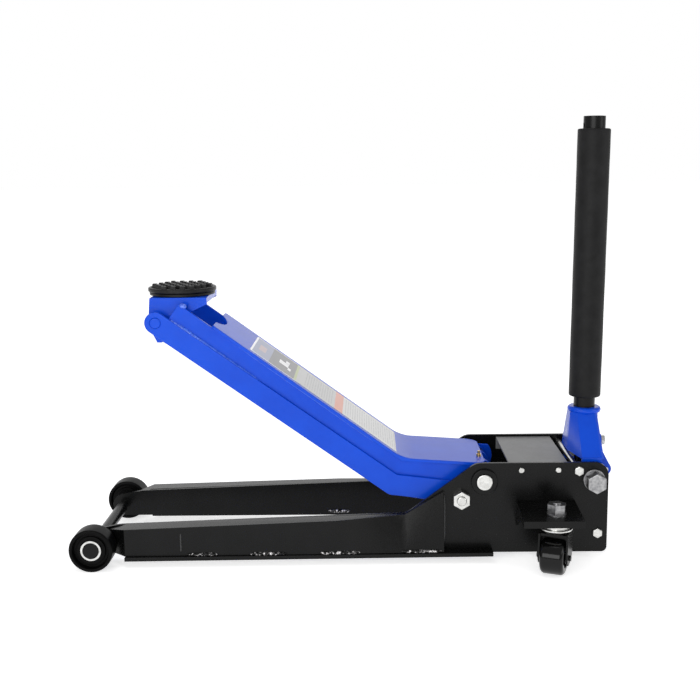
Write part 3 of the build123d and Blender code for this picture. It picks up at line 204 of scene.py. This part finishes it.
def skin_at(node, x, z, out, start=0.3):
    """Where across the jack a part's outer face lies at x, z, on the side that out names."""
    shape = bmesh.new()
    shape.from_mesh(nodes[node].data)
    where = BVHTree.FromBMesh(shape).ray_cast(Vector((x, out * start, z)), Vector((0.0, -out, 0.0)))[0]
    shape.free()
    return where.y if where else out * rail_out


# the rails' outer faces, for a point that no face lies behind
rail_out = 0.1115
tack_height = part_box("base_strips")[1].z + 0.0022
# each tack run's front and rear, along the jack
foot_tacks = ((-0.236, -0.188), (-0.141, -0.087), (-0.040, 0.020), (0.081, 0.140))
web_front, web_foot, web_top = -0.243, 0.022, 0.051
plate_rear, plate_out, plate_foot, plate_top = 0.1452, 0.0862, 0.021, 0.098
inner_front, inner_rear, inner_out, inner_height = -0.033, 0.003, 0.0797, 0.0185
for side, out in (("left", -1.0), ("right", 1.0)):
    for count, (front, rear) in enumerate(foot_tacks):
        weld_bead(
            f"foot_tack_{side}_{count}",
            (front, skin_at("rails", front, tack_height, out), tack_height),
            (rear, skin_at("rails", rear, tack_height, out), tack_height),
            0.0027, "frame", weld_patchy, seed=count + 3)
    weld_bead(
        f"web_seam_{side}", (web_front, skin_at("rails", web_front, web_foot, out), web_foot),
        (web_front, skin_at("rails", web_front, web_top, out), web_top),
        0.0014, "frame", weld_black, seed=9)
    weld_bead(
        f"plate_seam_{side}", (plate_rear, out * plate_out, plate_foot),
        (plate_rear, out * plate_out, plate_top), 0.0021, "frame", weld_black, seed=10)
    weld_bead(
        f"inner_tack_{side}", (inner_front, out * inner_out, inner_height),
        (inner_rear, out * inner_out, inner_height), 0.0030, "frame", weld_patchy, seed=11)

# ---------------------------------------------------------------- front axle
# Two steel stubs, turned and welded to the plates' front ends, carry the wheels on bright snap rings.
# A round steel cross rod, sprayed with the frame, keeps the plates apart.
bright_zinc = grained(
    "bright_zinc", (0.50, 0.50, 0.48), (0.74, 0.74, 0.72), spread=0.006, grain=0.0012,
    relief=0.0006, depth=0.00002, rough=(0.2, 0.38), metal=1.0)
coated(black_enamel, "wheel_stubs", "front_cross_rod")
coated(bright_zinc, "wheel_rings")

# ---------------------------------------------------------------- lift shaft
# A turned and zinc plated steel shaft, chamfered at its ends, runs through both plates and carries
# the arm. Steel collars, sprayed with the frame, sit round it outside and inside each plate.
ground_steel = grained(
    "ground_steel", (0.42, 0.42, 0.43), (0.60, 0.60, 0.61), spread=0.02, grain=0.0008,
    relief=0.0004, depth=0.00001, rough=(0.18, 0.3), metal=1.0)
eased_copy("lift_shaft", 0.0012, "frame", bright_zinc)
eased_copy("pivot_collars", 0.0012, "frame", black_enamel)

# ---------------------------------------------------------------- bolts and nuts
# Bought bolts, hexagon nuts and washers of formed steel, bright zinc plated and screwed up tight.
# The ones at the handle socket and casters have dulled to grey.
grey_zinc = grained(
    "grey_zinc", (0.20, 0.20, 0.21), (0.46, 0.46, 0.46), spread=0.005, grain=0.0012,
    relief=0.0008, depth=0.00003, rough=(0.22, 0.42), metal=1.0)
for node in ("guide_bolts", "guide_nuts", "cover_screws", "rear_bar_bolts", "tie_rod"):
    eased_copy(node, 0.0006, "frame", bright_zinc)
for node in ("socket_bolts", "socket_washers", "caster_nuts"):
    eased_copy(node, 0.0007, "frame", grey_zinc)

# ---------------------------------------------------------------- cover plate
# A pressed 3 mm steel lid, screwed down over the hydraulic unit between the plates.
# It is sprayed black like them; its grey tone is painted reflection of the bright surroundings on its top.
# the grey base colour is painted reflection of the white surroundings on a black lid
lid_painted_reflection = grained(
    "lid_painted_reflection", (0.14, 0.14, 0.14), (0.18, 0.18, 0.18), spread=0.03, grain=0.004,
    relief=0.0015, depth=0.00004, rough=(0.38, 0.5), shine=0.6)
eased_copy("cover_plate", 0.0008, "frame", lid_painted_reflection)

# ---------------------------------------------------------------- hydraulic unit
# A machined steel block with its tank and cylinder, bolted between the plates and sprayed in place.
# Glands and plugs are zinc plated, the sliding rods ground bright and the coil springs oiled wire.
unit_black = grained(
    "unit_black", (0.003, 0.003, 0.003), (0.007, 0.007, 0.007), spread=0.02, grain=0.003,
    relief=0.001, depth=0.00005, rough=(0.35, 0.5), shine=0.2)
coated(unit_black, "rear_cross_bar", "cradle_plate", "pump_block", "reservoir", "hydraulic_cylinder",
       "link_anchor_lugs")
coated(bright_zinc, "cylinder_nut", "filler_plug", "gland_nuts")
spring_wire = grained(
    "oiled_spring_wire", (0.10, 0.10, 0.11), (0.2, 0.2, 0.21), spread=0.01, grain=0.001,
    relief=0.0005, depth=0.00001, rough=(0.25, 0.4), metal=1.0)


def live_spring(node):
    """The CAD coil welded into one smooth skin in oiled spring wire, hung on the frame in its place."""
    shape = bmesh.new()
    shape.from_mesh(nodes[node].data)
    bmesh.ops.remove_doubles(shape, verts=shape.verts, dist=2e-6)
    for face in shape.faces:
        face.smooth = True
    spring = made(node + "_live", shape, spring_wire)
    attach(spring, "frame")
    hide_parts(node)
    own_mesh(spring)


live_spring("return_springs")
live_spring("plunger_springs")
coated(ground_steel, "ram", "ram_block", "release_spindle", "pump_plungers")

# ---------------------------------------------------------------- lifting arm
# Two bent side sheets with a bar welded outside each and one bent plate over the top, all sprayed
# a strong gloss blue. Weld runs follow the bar's upper edge and the tip.
arm_blue = grained(
    "arm_blue", (0.0014, 0.056, 0.54), (0.0024, 0.068, 0.61), spread=0.05, grain=0.01,
    relief=0.0026, depth=0.00006, rough=(0.20, 0.28), coat=0.03, shine=0.2)


def eased_bend(piece, x, z, reach):
    """Rounds the press-brake bend that runs across the piece at x, z."""
    shape = bmesh.new()
    shape.from_mesh(piece.data)
    bend_edges = []
    for edge in shape.edges:
        middle = (edge.verts[0].co + edge.verts[1].co) / 2
        across = abs(edge.verts[0].co.y - edge.verts[1].co.y)
        if across > 0.9 * edge.calc_length() and math.hypot(middle.x - x, middle.z - z) < 0.004:
            bend_edges.append(edge)
    bmesh.ops.bevel(shape, geom=bend_edges, offset=reach, offset_type="OFFSET", segments=8, profile=0.5,
                    affect="EDGES", material=-1, clamp_overlap=True)
    for face in shape.faces:
        face.smooth = True
    shape.to_mesh(piece.data)
    shape.free()


eased_copy("arm_side_plates", 0.0008, "lift_arm", arm_blue)
eased_copy("arm_doublers", 0.0010, "lift_arm", arm_blue)
top_piece = eased_copy("arm_top_plate", 0.0010, "lift_arm", arm_blue)
bend_x, bend_z, bend_reach = 0.085, 0.150, 0.016
eased_bend(top_piece, bend_x, bend_z, bend_reach)
eased_copy("tip_pin", 0.0009, "lift_arm", arm_blue)
eased_copy("drive_lugs", 0.0009, "lift_arm", arm_blue)
coated(arm_blue, "arm_bosses")
coated(ground_steel, "drive_pin")
brass = grained(
    "brass", (0.55, 0.38, 0.12), (0.72, 0.52, 0.2), spread=0.004, grain=0.001,
    relief=0.0005, depth=0.00001, rough=(0.2, 0.35), metal=1.0)
coated(brass, "grease_nipple")

pivot = Vector((0.204, 0.0, 0.118))
tip = Vector((-0.2752, 0.0, 0.3559))
bend = pivot + Vector((-0.119, 0.0, 0.032))
slope = math.radians(36.3)
uphill = Vector((-math.cos(slope), 0.0, math.sin(slope)))
upward = Vector((math.sin(slope), 0.0, math.cos(slope)))
side_out, top_out = 0.0632, 0.0638
blob_front, blob_rear = (-0.239, 0.3815), (-0.229, 0.379)
bar_run, top_near, top_far = 0.17, 0.02, 0.31
weld_blue = grained(
    "welded_blue", (0.008, 0.07, 0.55), (0.05, 0.17, 0.8), spread=0.004, grain=0.002,
    relief=0.0012, depth=0.00008, rough=(0.1, 0.2), coat=0.8, shine=0.7)
for side, out in (("left", -1.0), ("right", 1.0)):
    seam = tip - uphill * 0.016 + upward * 0.0162
    weld_bead(
        f"bar_seam_{side}", (seam.x, out * side_out, seam.z),
        (seam.x - uphill.x * bar_run, out * side_out, seam.z - uphill.z * bar_run),
        0.0036, "lift_arm", weld_blue, seed=21)
    weld_bead(
        f"tip_blob_{side}", (blob_front[0], out * side_out, blob_front[1]),
        (blob_rear[0], out * side_out, blob_rear[1]),
        0.0042, "lift_arm", weld_blue, seed=23)
    under = bend - upward * 0.0052
    weld_bead(
        f"top_seam_{side}", (under.x + uphill.x * top_far, out * top_out, under.z + uphill.z * top_far),
        (under.x + uphill.x * top_near, out * top_out, under.z + uphill.z * top_near),
        0.0016, "lift_arm", weld_blue, seed=22)

# ---------------------------------------------------------------- arm label
# A printed film stuck along the arm's top plate: a white outlined end, a dark block, a pale block of
# plain ruled lines, a red block and a white ruled block. It carries no lettering. The outlined end's
# bluish grey fill is its dark print with painted reflection of the sky in it.
label_blocks = (
    # from 0.010 the dark end is given a bluish grey: its dark print with painted reflection mixed in
    (0.00, (0.95, 0.95, 0.97)), (0.010, (0.25, 0.28, 0.42)), (0.12, (0.13, 0.13, 0.14)),
    (0.285, (0.40, 0.46, 0.20)), (0.30, (0.47, 0.47, 0.47)), (0.555, (0.70, 0.24, 0.15)),
    (0.61, (0.62, 0.62, 0.61)),
)
film = bpy.data.materials.new("label_film")
film.use_nodes = True
tree = film.node_tree
film_shader = tree.nodes["Principled BSDF"]
film_shader.inputs["Roughness"].default_value = 0.35
film_shader.inputs["Coat Weight"].default_value = 0.3
strip = tree.nodes.new("ShaderNodeUVMap")
strip.uv_map = "film"
split = tree.nodes.new("ShaderNodeSeparateXYZ")
tree.links.new(strip.outputs["UV"], split.inputs["Vector"])
blocks = tree.nodes.new("ShaderNodeValToRGB")
blocks.color_ramp.interpolation = "CONSTANT"
for count, (position, colour) in enumerate(label_blocks):
    stop = blocks.color_ramp.elements[count] if count < 2 else blocks.color_ramp.elements.new(position)
    stop.position = position
    stop.color = (*colour, 1.0)
tree.links.new(split.outputs["X"], blocks.inputs["Fac"])


def sum_node(operation, first, second=None, amount=0.0):
    """One step of arithmetic on the label's run."""
    step = tree.nodes.new("ShaderNodeMath")
    step.operation = operation
    tree.links.new(first, step.inputs[0])
    if second is None:
        step.inputs[1].default_value = amount
    else:
        tree.links.new(second, step.inputs[1])
    return step.outputs["Value"]


# ruled lines, kept off the label's sides, the dark end and the red block, and broken here and there
rule_count, rule_share, side_margin, ruled_from = 62.0, 0.42, 0.10, 0.35
red_middle, red_half = 0.585, 0.04
rules = sum_node("MULTIPLY", split.outputs["X"], amount=rule_count)
rules = sum_node("FRACT", rules)
rules = sum_node("LESS_THAN", rules, amount=rule_share)
side_low = sum_node("GREATER_THAN", split.outputs["Y"], amount=side_margin)
side_high = sum_node("LESS_THAN", split.outputs["Y"], amount=1.0 - side_margin)
inside = sum_node("MULTIPLY", side_low, side_high)
pale_part = sum_node("GREATER_THAN", split.outputs["X"], amount=ruled_from)
rules = sum_node("MULTIPLY", rules, inside)
rules = sum_node("MULTIPLY", rules, pale_part)
not_red = sum_node("COMPARE", split.outputs["X"], amount=red_middle)
tree.nodes[-1].inputs[2].default_value = red_half
not_red = sum_node("SUBTRACT", not_red, amount=1.0)
not_red = sum_node("MULTIPLY", not_red, amount=-1.0)
rules = sum_node("MULTIPLY", rules, not_red)
ragged = tree.nodes.new("ShaderNodeTexNoise")
ragged.inputs["Scale"].default_value = 60.0
tree.links.new(strip.outputs["UV"], ragged.inputs["Vector"])
broken = sum_node("GREATER_THAN", ragged.outputs["Fac"], amount=0.47)
rules = sum_node("MULTIPLY", rules, broken)
rules = sum_node("MULTIPLY", rules, amount=0.5)
ink = tree.nodes.new("ShaderNodeMix")
ink.data_type = "RGBA"
ink.inputs[7].default_value = (0.2, 0.2, 0.21, 1.0)
tree.links.new(rules, ink.inputs[0])
tree.links.new(blocks.outputs["Color"], ink.inputs[6])
# a white line round the dark end, and plain pale marks on it
border = sum_node("SUBTRACT", split.outputs["Y"], amount=0.5)
border = sum_node("ABSOLUTE", border)
edge_line = sum_node("GREATER_THAN", border, amount=0.475)
outlined = sum_node("LESS_THAN", split.outputs["X"], amount=0.30)
edge_line = sum_node("MULTIPLY", edge_line, outlined)


def patch(middle_x, middle_y, half_x, half_y):
    """1 inside a plain oblong on the film, 0 outside."""
    from_x = sum_node("COMPARE", split.outputs["X"], amount=middle_x)
    tree.nodes[-1].inputs[2].default_value = half_x
    from_y = sum_node("COMPARE", split.outputs["Y"], amount=middle_y)
    tree.nodes[-1].inputs[2].default_value = half_y
    return sum_node("MULTIPLY", from_x, from_y)


plain_marks = edge_line
for mark in ((0.205, 0.50, 0.030, 0.10), (0.225, 0.68, 0.012, 0.07), (0.245, 0.36, 0.010, 0.07)):
    plain_marks = sum_node("MAXIMUM", plain_marks, patch(*mark))
paper = tree.nodes.new("ShaderNodeMix")
paper.data_type = "RGBA"
paper.inputs[7].default_value = (0.86, 0.86, 0.88, 1.0)
tree.links.new(plain_marks, paper.inputs[0])
tree.links.new(ink.outputs[2], paper.inputs[6])
badge = patch(0.062, 0.50, 0.022, 0.16)
badge = sum_node("MULTIPLY", badge, amount=0.6)
tinted = tree.nodes.new("ShaderNodeMix")
tinted.data_type = "RGBA"
tinted.inputs[7].default_value = (0.62, 0.40, 0.34, 1.0)
tree.links.new(badge, tinted.inputs[0])
tree.links.new(paper.outputs[2], tinted.inputs[6])
tree.links.new(tinted.outputs[2], film_shader.inputs["Base Color"])

label_rear, label_length, label_half = 0.006, 0.272, 0.058
film_thickness, film_lift = 0.00015, 0.00025
shape = bmesh.new()
bmesh.ops.create_grid(
    shape, x_segments=24, y_segments=4, size=0.5, calc_uvs=False,
    matrix=Matrix.Translation((0.5, 0.0, 0.0)))
film_map = shape.loops.layers.uv.new("film")
for face in shape.faces:
    for loop in face.loops:
        loop[film_map].uv = (1.0 - loop.vert.co.x, loop.vert.co.y + 0.5)
rise = Matrix((uphill, Vector((0.0, 1.0, 0.0)), -upward)).transposed().to_4x4()
lay = Matrix.Translation(bend + uphill * label_rear + upward * film_lift) @ rise @ Matrix.Diagonal(
    (label_length, 2 * label_half, 1.0, 1.0))
bmesh.ops.transform(shape, matrix=lay, verts=shape.verts)
for face in shape.faces:
    if face.normal.dot(upward) < 0:
        face.normal_flip()
bmesh.ops.solidify(shape, geom=shape.faces, thickness=film_thickness)
arm_label = made("arm_label", shape, film)
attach(arm_label, "lift_arm")

# ---------------------------------------------------------------- saddle bracket and links
# A bracket welded up from steel sheet hangs on the arm's tip pin, sprayed the arm's blue.
# Two bent flat steel bars, in black, link it to the frame and keep it level.
eased_copy("saddle_bracket", 0.0009, "saddle_bracket", arm_blue)
coated(unit_black, "link_rods")

# ---------------------------------------------------------------- saddle
# A round steel cup, cast and sprayed black, turns on its own spigot in the bracket.
# The rubber pad in it is moulded with rows of square studs, which stand a little askew.
saddle_black = grained(
    "saddle_black", (0.004, 0.004, 0.004), (0.010, 0.010, 0.010), spread=0.012, grain=0.002,
    relief=0.001, depth=0.00008, rough=(0.3, 0.45), shine=0.2)
eased_copy("saddle", 0.0008, "saddle", saddle_black)
pad_rubber = grained(
    "pad_rubber", (0.006, 0.006, 0.0065), (0.014, 0.014, 0.015), spread=0.006, grain=0.0015,
    relief=0.0007, depth=0.00008, rough=(0.28, 0.5), shine=0.18)


def turned(profile, steps):
    """A shape turned about the upright axis from an outline of reach and height."""
    shape = bmesh.new()
    corners = [shape.verts.new((reach, 0.0, height)) for reach, height in profile]
    outline = [shape.edges.new(pair) for pair in zip(corners, corners[1:])]
    bmesh.ops.spin(shape, geom=corners + outline, cent=(0.0, 0.0, 0.0), axis=(0.0, 0.0, 1.0),
                   angle=2 * math.pi, steps=steps, use_merge=True)
    bmesh.ops.remove_doubles(shape, verts=shape.verts, dist=1e-6)
    bmesh.ops.recalc_face_normals(shape, faces=shape.faces)
    return shape


pad_low, pad_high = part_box("saddle_pad")
pad_middle = (pad_low + pad_high) / 2
pad_radius = (pad_high.x - pad_low.x) / 2
stud_height, stud_pitch, stud_half = 0.0044, 0.0138, 0.0043
pad_face = pad_high.z - stud_height
stud_top, stud_foot = pad_high.z - 0.00005, pad_face - 0.0025
stud_margin, stud_taper, row_squeeze, stud_turn = 0.0065, 0.78, 0.92, 12
rim_round, rim_inner, floor_drop = 0.002, 0.0052, 0.0012
shape = turned((
    (0.0, pad_low.z), (pad_radius - rim_round, pad_low.z), (pad_radius, pad_low.z + 0.0016),
    (pad_radius, pad_face - 0.0014), (pad_radius - 0.0006, pad_face - 0.0004),
    (pad_radius - rim_round, pad_face), (pad_radius - 0.0045, pad_face),
    (pad_radius - rim_inner, pad_face - floor_drop), (0.0, pad_face - floor_drop)), steps=72)
random.seed(5)
rows = int(pad_radius / stud_pitch) + 1
for row in range(-rows, rows + 1):
    for column in range(-rows, rows + 1):
        east = column * stud_pitch + (0.5 * stud_pitch if row % 2 else 0.0)
        north = row * stud_pitch * row_squeeze
        if math.hypot(east, north) > pad_radius - stud_margin:
            continue
        askew = Matrix.Rotation(math.radians(random.uniform(-stud_turn, stud_turn)), 4, "Z")
        block = bmesh.ops.create_cube(shape, size=1.0, matrix=Matrix.Translation(
            (east, north, (stud_foot + stud_top) / 2)) @ askew @ Matrix.Diagonal(
            (2 * stud_half, 2 * stud_half, stud_top - stud_foot, 1.0)))["verts"]
        crown = [vert for vert in block if vert.co.z > pad_face]
        bmesh.ops.scale(shape, vec=(stud_taper, stud_taper, 1.0), verts=crown,
                        space=Matrix.Translation((-east, -north, 0.0)))
bmesh.ops.translate(shape, vec=(pad_middle.x, pad_middle.y, 0.0), verts=shape.verts)
for face in shape.faces:
    face.smooth = face.calc_area() < 1e-9
studded_pad = made("studded_pad", shape, pad_rubber)
softening = studded_pad.modifiers.new("softening", "BEVEL")
softening.width = 0.0005
softening.segments = 2
softening.limit_method = "ANGLE"
softening.angle_limit = math.radians(30)
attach(studded_pad, "saddle")
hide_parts("saddle_pad")

# ---------------------------------------------------------------- handle socket
# A cast steel yoke with a round cup and rolled lip, sprayed the arm's blue, held by two side bolts.
# A bolt clamps the handle in it, and rollers on a pin at its foot press on the pump.
eased_copy("handle_socket", 0.0010, "handle_socket", arm_blue)
eased_copy("clamp_bolt", 0.0006, "handle_socket", bright_zinc)
coated(ground_steel, "roller_pin", "pump_rollers")

# ---------------------------------------------------------------- handle
# The lower part of the handle, a steel tube sprayed satin black and slid into the socket.
# A long sleeve of soft closed-cell foam is pulled over it and holds by its own grip.
tube_black = grained(
    "tube_black", (0.002, 0.002, 0.002), (0.0045, 0.0045, 0.0045), spread=0.03, grain=0.003,
    relief=0.0012, depth=0.00003, rough=(0.24, 0.34), shine=0.18)
coated(tube_black, "handle_tube", "handle_driver")
foam = grained(
    "closed_cell_foam", (0.006, 0.006, 0.0062), (0.012, 0.012, 0.0124), spread=0.02, grain=0.0012,
    relief=0.0007, depth=0.00012, rough=(0.45, 0.6), shine=0.15)
lean = math.radians(0.55)
handle_foot = Vector((0.3645, 0.0, 0.120))
foam_start, foam_end, foam_radius, foam_bore = 0.108, 0.5075, 0.024, 0.0163
foam_round, foam_ease, foam_rings = 0.002, 0.0006, 60
foam_run = foam_end - foam_start
outline = [
    (foam_bore, foam_start), (foam_radius - foam_round, foam_start),
    (foam_radius - foam_ease, foam_start + foam_ease), (foam_radius, foam_start + foam_round)]
outline += [(foam_radius, foam_start + foam_run * ring / foam_rings) for ring in range(1, foam_rings)]
outline += [
    (foam_radius, foam_end - foam_round), (foam_radius - foam_ease, foam_end - foam_ease),
    (foam_radius - foam_round, foam_end), (foam_bore, foam_end), (foam_bore, foam_start)]
shape = turned(outline, steps=64)
# the skin dips a little, in long waves along the sleeve and a twist of shorter ones
long_wave, short_wave, wave_depth = 61.0, 143.0, 0.00007
for vert in shape.verts:
    reach = math.hypot(vert.co.x, vert.co.y)
    if reach > foam_radius - 0.001:
        round_at = math.atan2(vert.co.y, vert.co.x)
        sway = math.sin(vert.co.z * long_wave) + 0.6 * math.sin(vert.co.z * short_wave + 2 * round_at)
        shrink = 1.0 - wave_depth * (1.6 + sway) / reach
        vert.co.x *= shrink
        vert.co.y *= shrink
for face in shape.faces:
    face.smooth = True
tilt = Matrix.Translation(handle_foot) @ Matrix.Rotation(lean, 4, "Y")
bmesh.ops.transform(shape, matrix=tilt, verts=shape.verts)
foam_grip = made("foam_grip", shape, foam)
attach(foam_grip, "handle")
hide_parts("foam_sleeve")

# ---------------------------------------------------------------- front wheels
# Two solid steel wheels, turned and sprayed black.
# Each runs on its axle stub, behind a snap ring.
wheel_black = grained(
    "wheel_black", (0.0018, 0.0018, 0.0018), (0.0045, 0.0045, 0.0045), spread=0.02, grain=0.003,
    relief=0.0015, depth=0.00005, rough=(0.3, 0.42), shine=0.06)
for side in ("left", "right"):
    eased_copy("front_wheel_" + side, 0.0008, "front_wheel_" + side, wheel_black)

# ---------------------------------------------------------------- rear casters
# Pressed steel forks turn on zinc plated ball races under shelves welded to the plates.
# Their wheels are glossy moulded nylon, each on its own pin.
nylon_black = grained(
    "nylon_black", (0.002, 0.002, 0.002), (0.004, 0.004, 0.004), spread=0.015, grain=0.004,
    relief=0.003, depth=0.00004, rough=(0.08, 0.16), shine=0.22)
eased_copy("caster_brackets", 0.0009, "frame", black_enamel)
eased_copy("caster_races", 0.0006, "frame", bright_zinc)
for side in ("left", "right"):
    eased_copy("caster_fork_" + side, 0.0007, "caster_fork_" + side, black_enamel)
    coated(nylon_black, "caster_wheel_" + side)

# ---------------------------------------------------------------- camera
# A long lens stands to the left of the jack, a little behind its middle.
# It looks slightly down and takes in the whole jack.
camera_data = bpy.data.cameras.new("camera")
camera_data.sensor_width = 36.0
camera_data.lens = 52.445
camera = bpy.data.objects.new("camera", camera_data)
bpy.context.collection.objects.link(camera)
yaw, pitch, roll = -0.0165, 0.173, 0.0128
ahead = Vector((math.sin(yaw) * math.cos(pitch), math.cos(yaw) * math.cos(pitch), -math.sin(pitch)))
level = Vector((math.cos(yaw), -math.sin(yaw), 0.0))
upright = level.cross(ahead)
right = math.cos(roll) * level - math.sin(roll) * upright
above = math.sin(roll) * level + math.cos(roll) * upright
stand = (0.0325, -1.5325, 0.5697)
camera.matrix_world = Matrix.Translation(stand) @ Matrix(
    (right, above, -ahead)).transposed().to_4x4()
bpy.context.scene.camera = camera

# ---------------------------------------------------------------- studio
# A pale floor that glows faintly under a white sky, so both come out nearly white.
# Soft panels stand above, in front, behind and to one side.
floor_reach = 40.0
floor_paint = bpy.data.materials.new("studio_floor")
floor_paint.use_nodes = True
floor_shader = floor_paint.node_tree.nodes["Principled BSDF"]
floor_shader.inputs["Base Color"].default_value = (0.86, 0.86, 0.86, 1.0)
floor_shader.inputs["Roughness"].default_value = 0.9
floor_shader.inputs["Specular IOR Level"].default_value = 0.1
floor_shader.inputs["Emission Color"].default_value = (1.0, 1.0, 1.0, 1.0)
floor_shader.inputs["Emission Strength"].default_value = 0.62
shape = bmesh.new()
bmesh.ops.create_grid(shape, x_segments=1, y_segments=1, size=floor_reach)
made("floor", shape, floor_paint)

sky = bpy.data.worlds.new("studio")
sky.use_nodes = True
sky_tree = sky.node_tree
dim_sky = sky_tree.nodes["Background"]
dim_sky.inputs["Color"].default_value = (1.0, 1.0, 1.0, 1.0)
dim_sky.inputs["Strength"].default_value = 0.52
white_backdrop = sky_tree.nodes.new("ShaderNodeBackground")
white_backdrop.inputs["Color"].default_value = (1.0, 1.0, 1.0, 1.0)
white_backdrop.inputs["Strength"].default_value = 1.0
seen = sky_tree.nodes.new("ShaderNodeLightPath")
shown_sky = sky_tree.nodes.new("ShaderNodeMixShader")
sky_tree.links.new(seen.outputs["Is Camera Ray"], shown_sky.inputs[0])
sky_tree.links.new(dim_sky.outputs["Background"], shown_sky.inputs[1])
sky_tree.links.new(white_backdrop.outputs["Background"], shown_sky.inputs[2])
sky_tree.links.new(shown_sky.outputs["Shader"], sky_tree.nodes["World Output"].inputs["Surface"])
bpy.context.scene.world = sky
bpy.context.scene.view_settings.view_transform = "Standard"


def soft_panel(name, at, aim, width, height, watts):
    """Rectangular soft light, facing a point."""
    data = bpy.data.lights.new(name, "AREA")
    data.shape = "RECTANGLE"
    data.size, data.size_y, data.energy = width, height, watts
    panel = bpy.data.objects.new(name, data)
    bpy.context.collection.objects.link(panel)
    panel.location = at
    panel.rotation_euler = (Vector(aim) - Vector(at)).to_track_quat("-Z", "Y").to_euler()


soft_panel("panel_above", (-0.5, 0.1, 2.2), (0.0, 0.0, 0.1), 0.9, 0.7, 7.0)
soft_panel("panel_front", (-0.9, -2.7, 1.0), (0.0, 0.0, 0.2), 2.2, 1.2, 34.0)
soft_panel("panel_back", (0.3, 3.4, 1.0), (0.3, 0.0, 1.0), 5.5, 2.1, 24.0)
soft_panel("panel_side", (2.6, -1.0, 1.1), (0.2, 0.0, 0.2), 1.2, 1.0, 10.0)
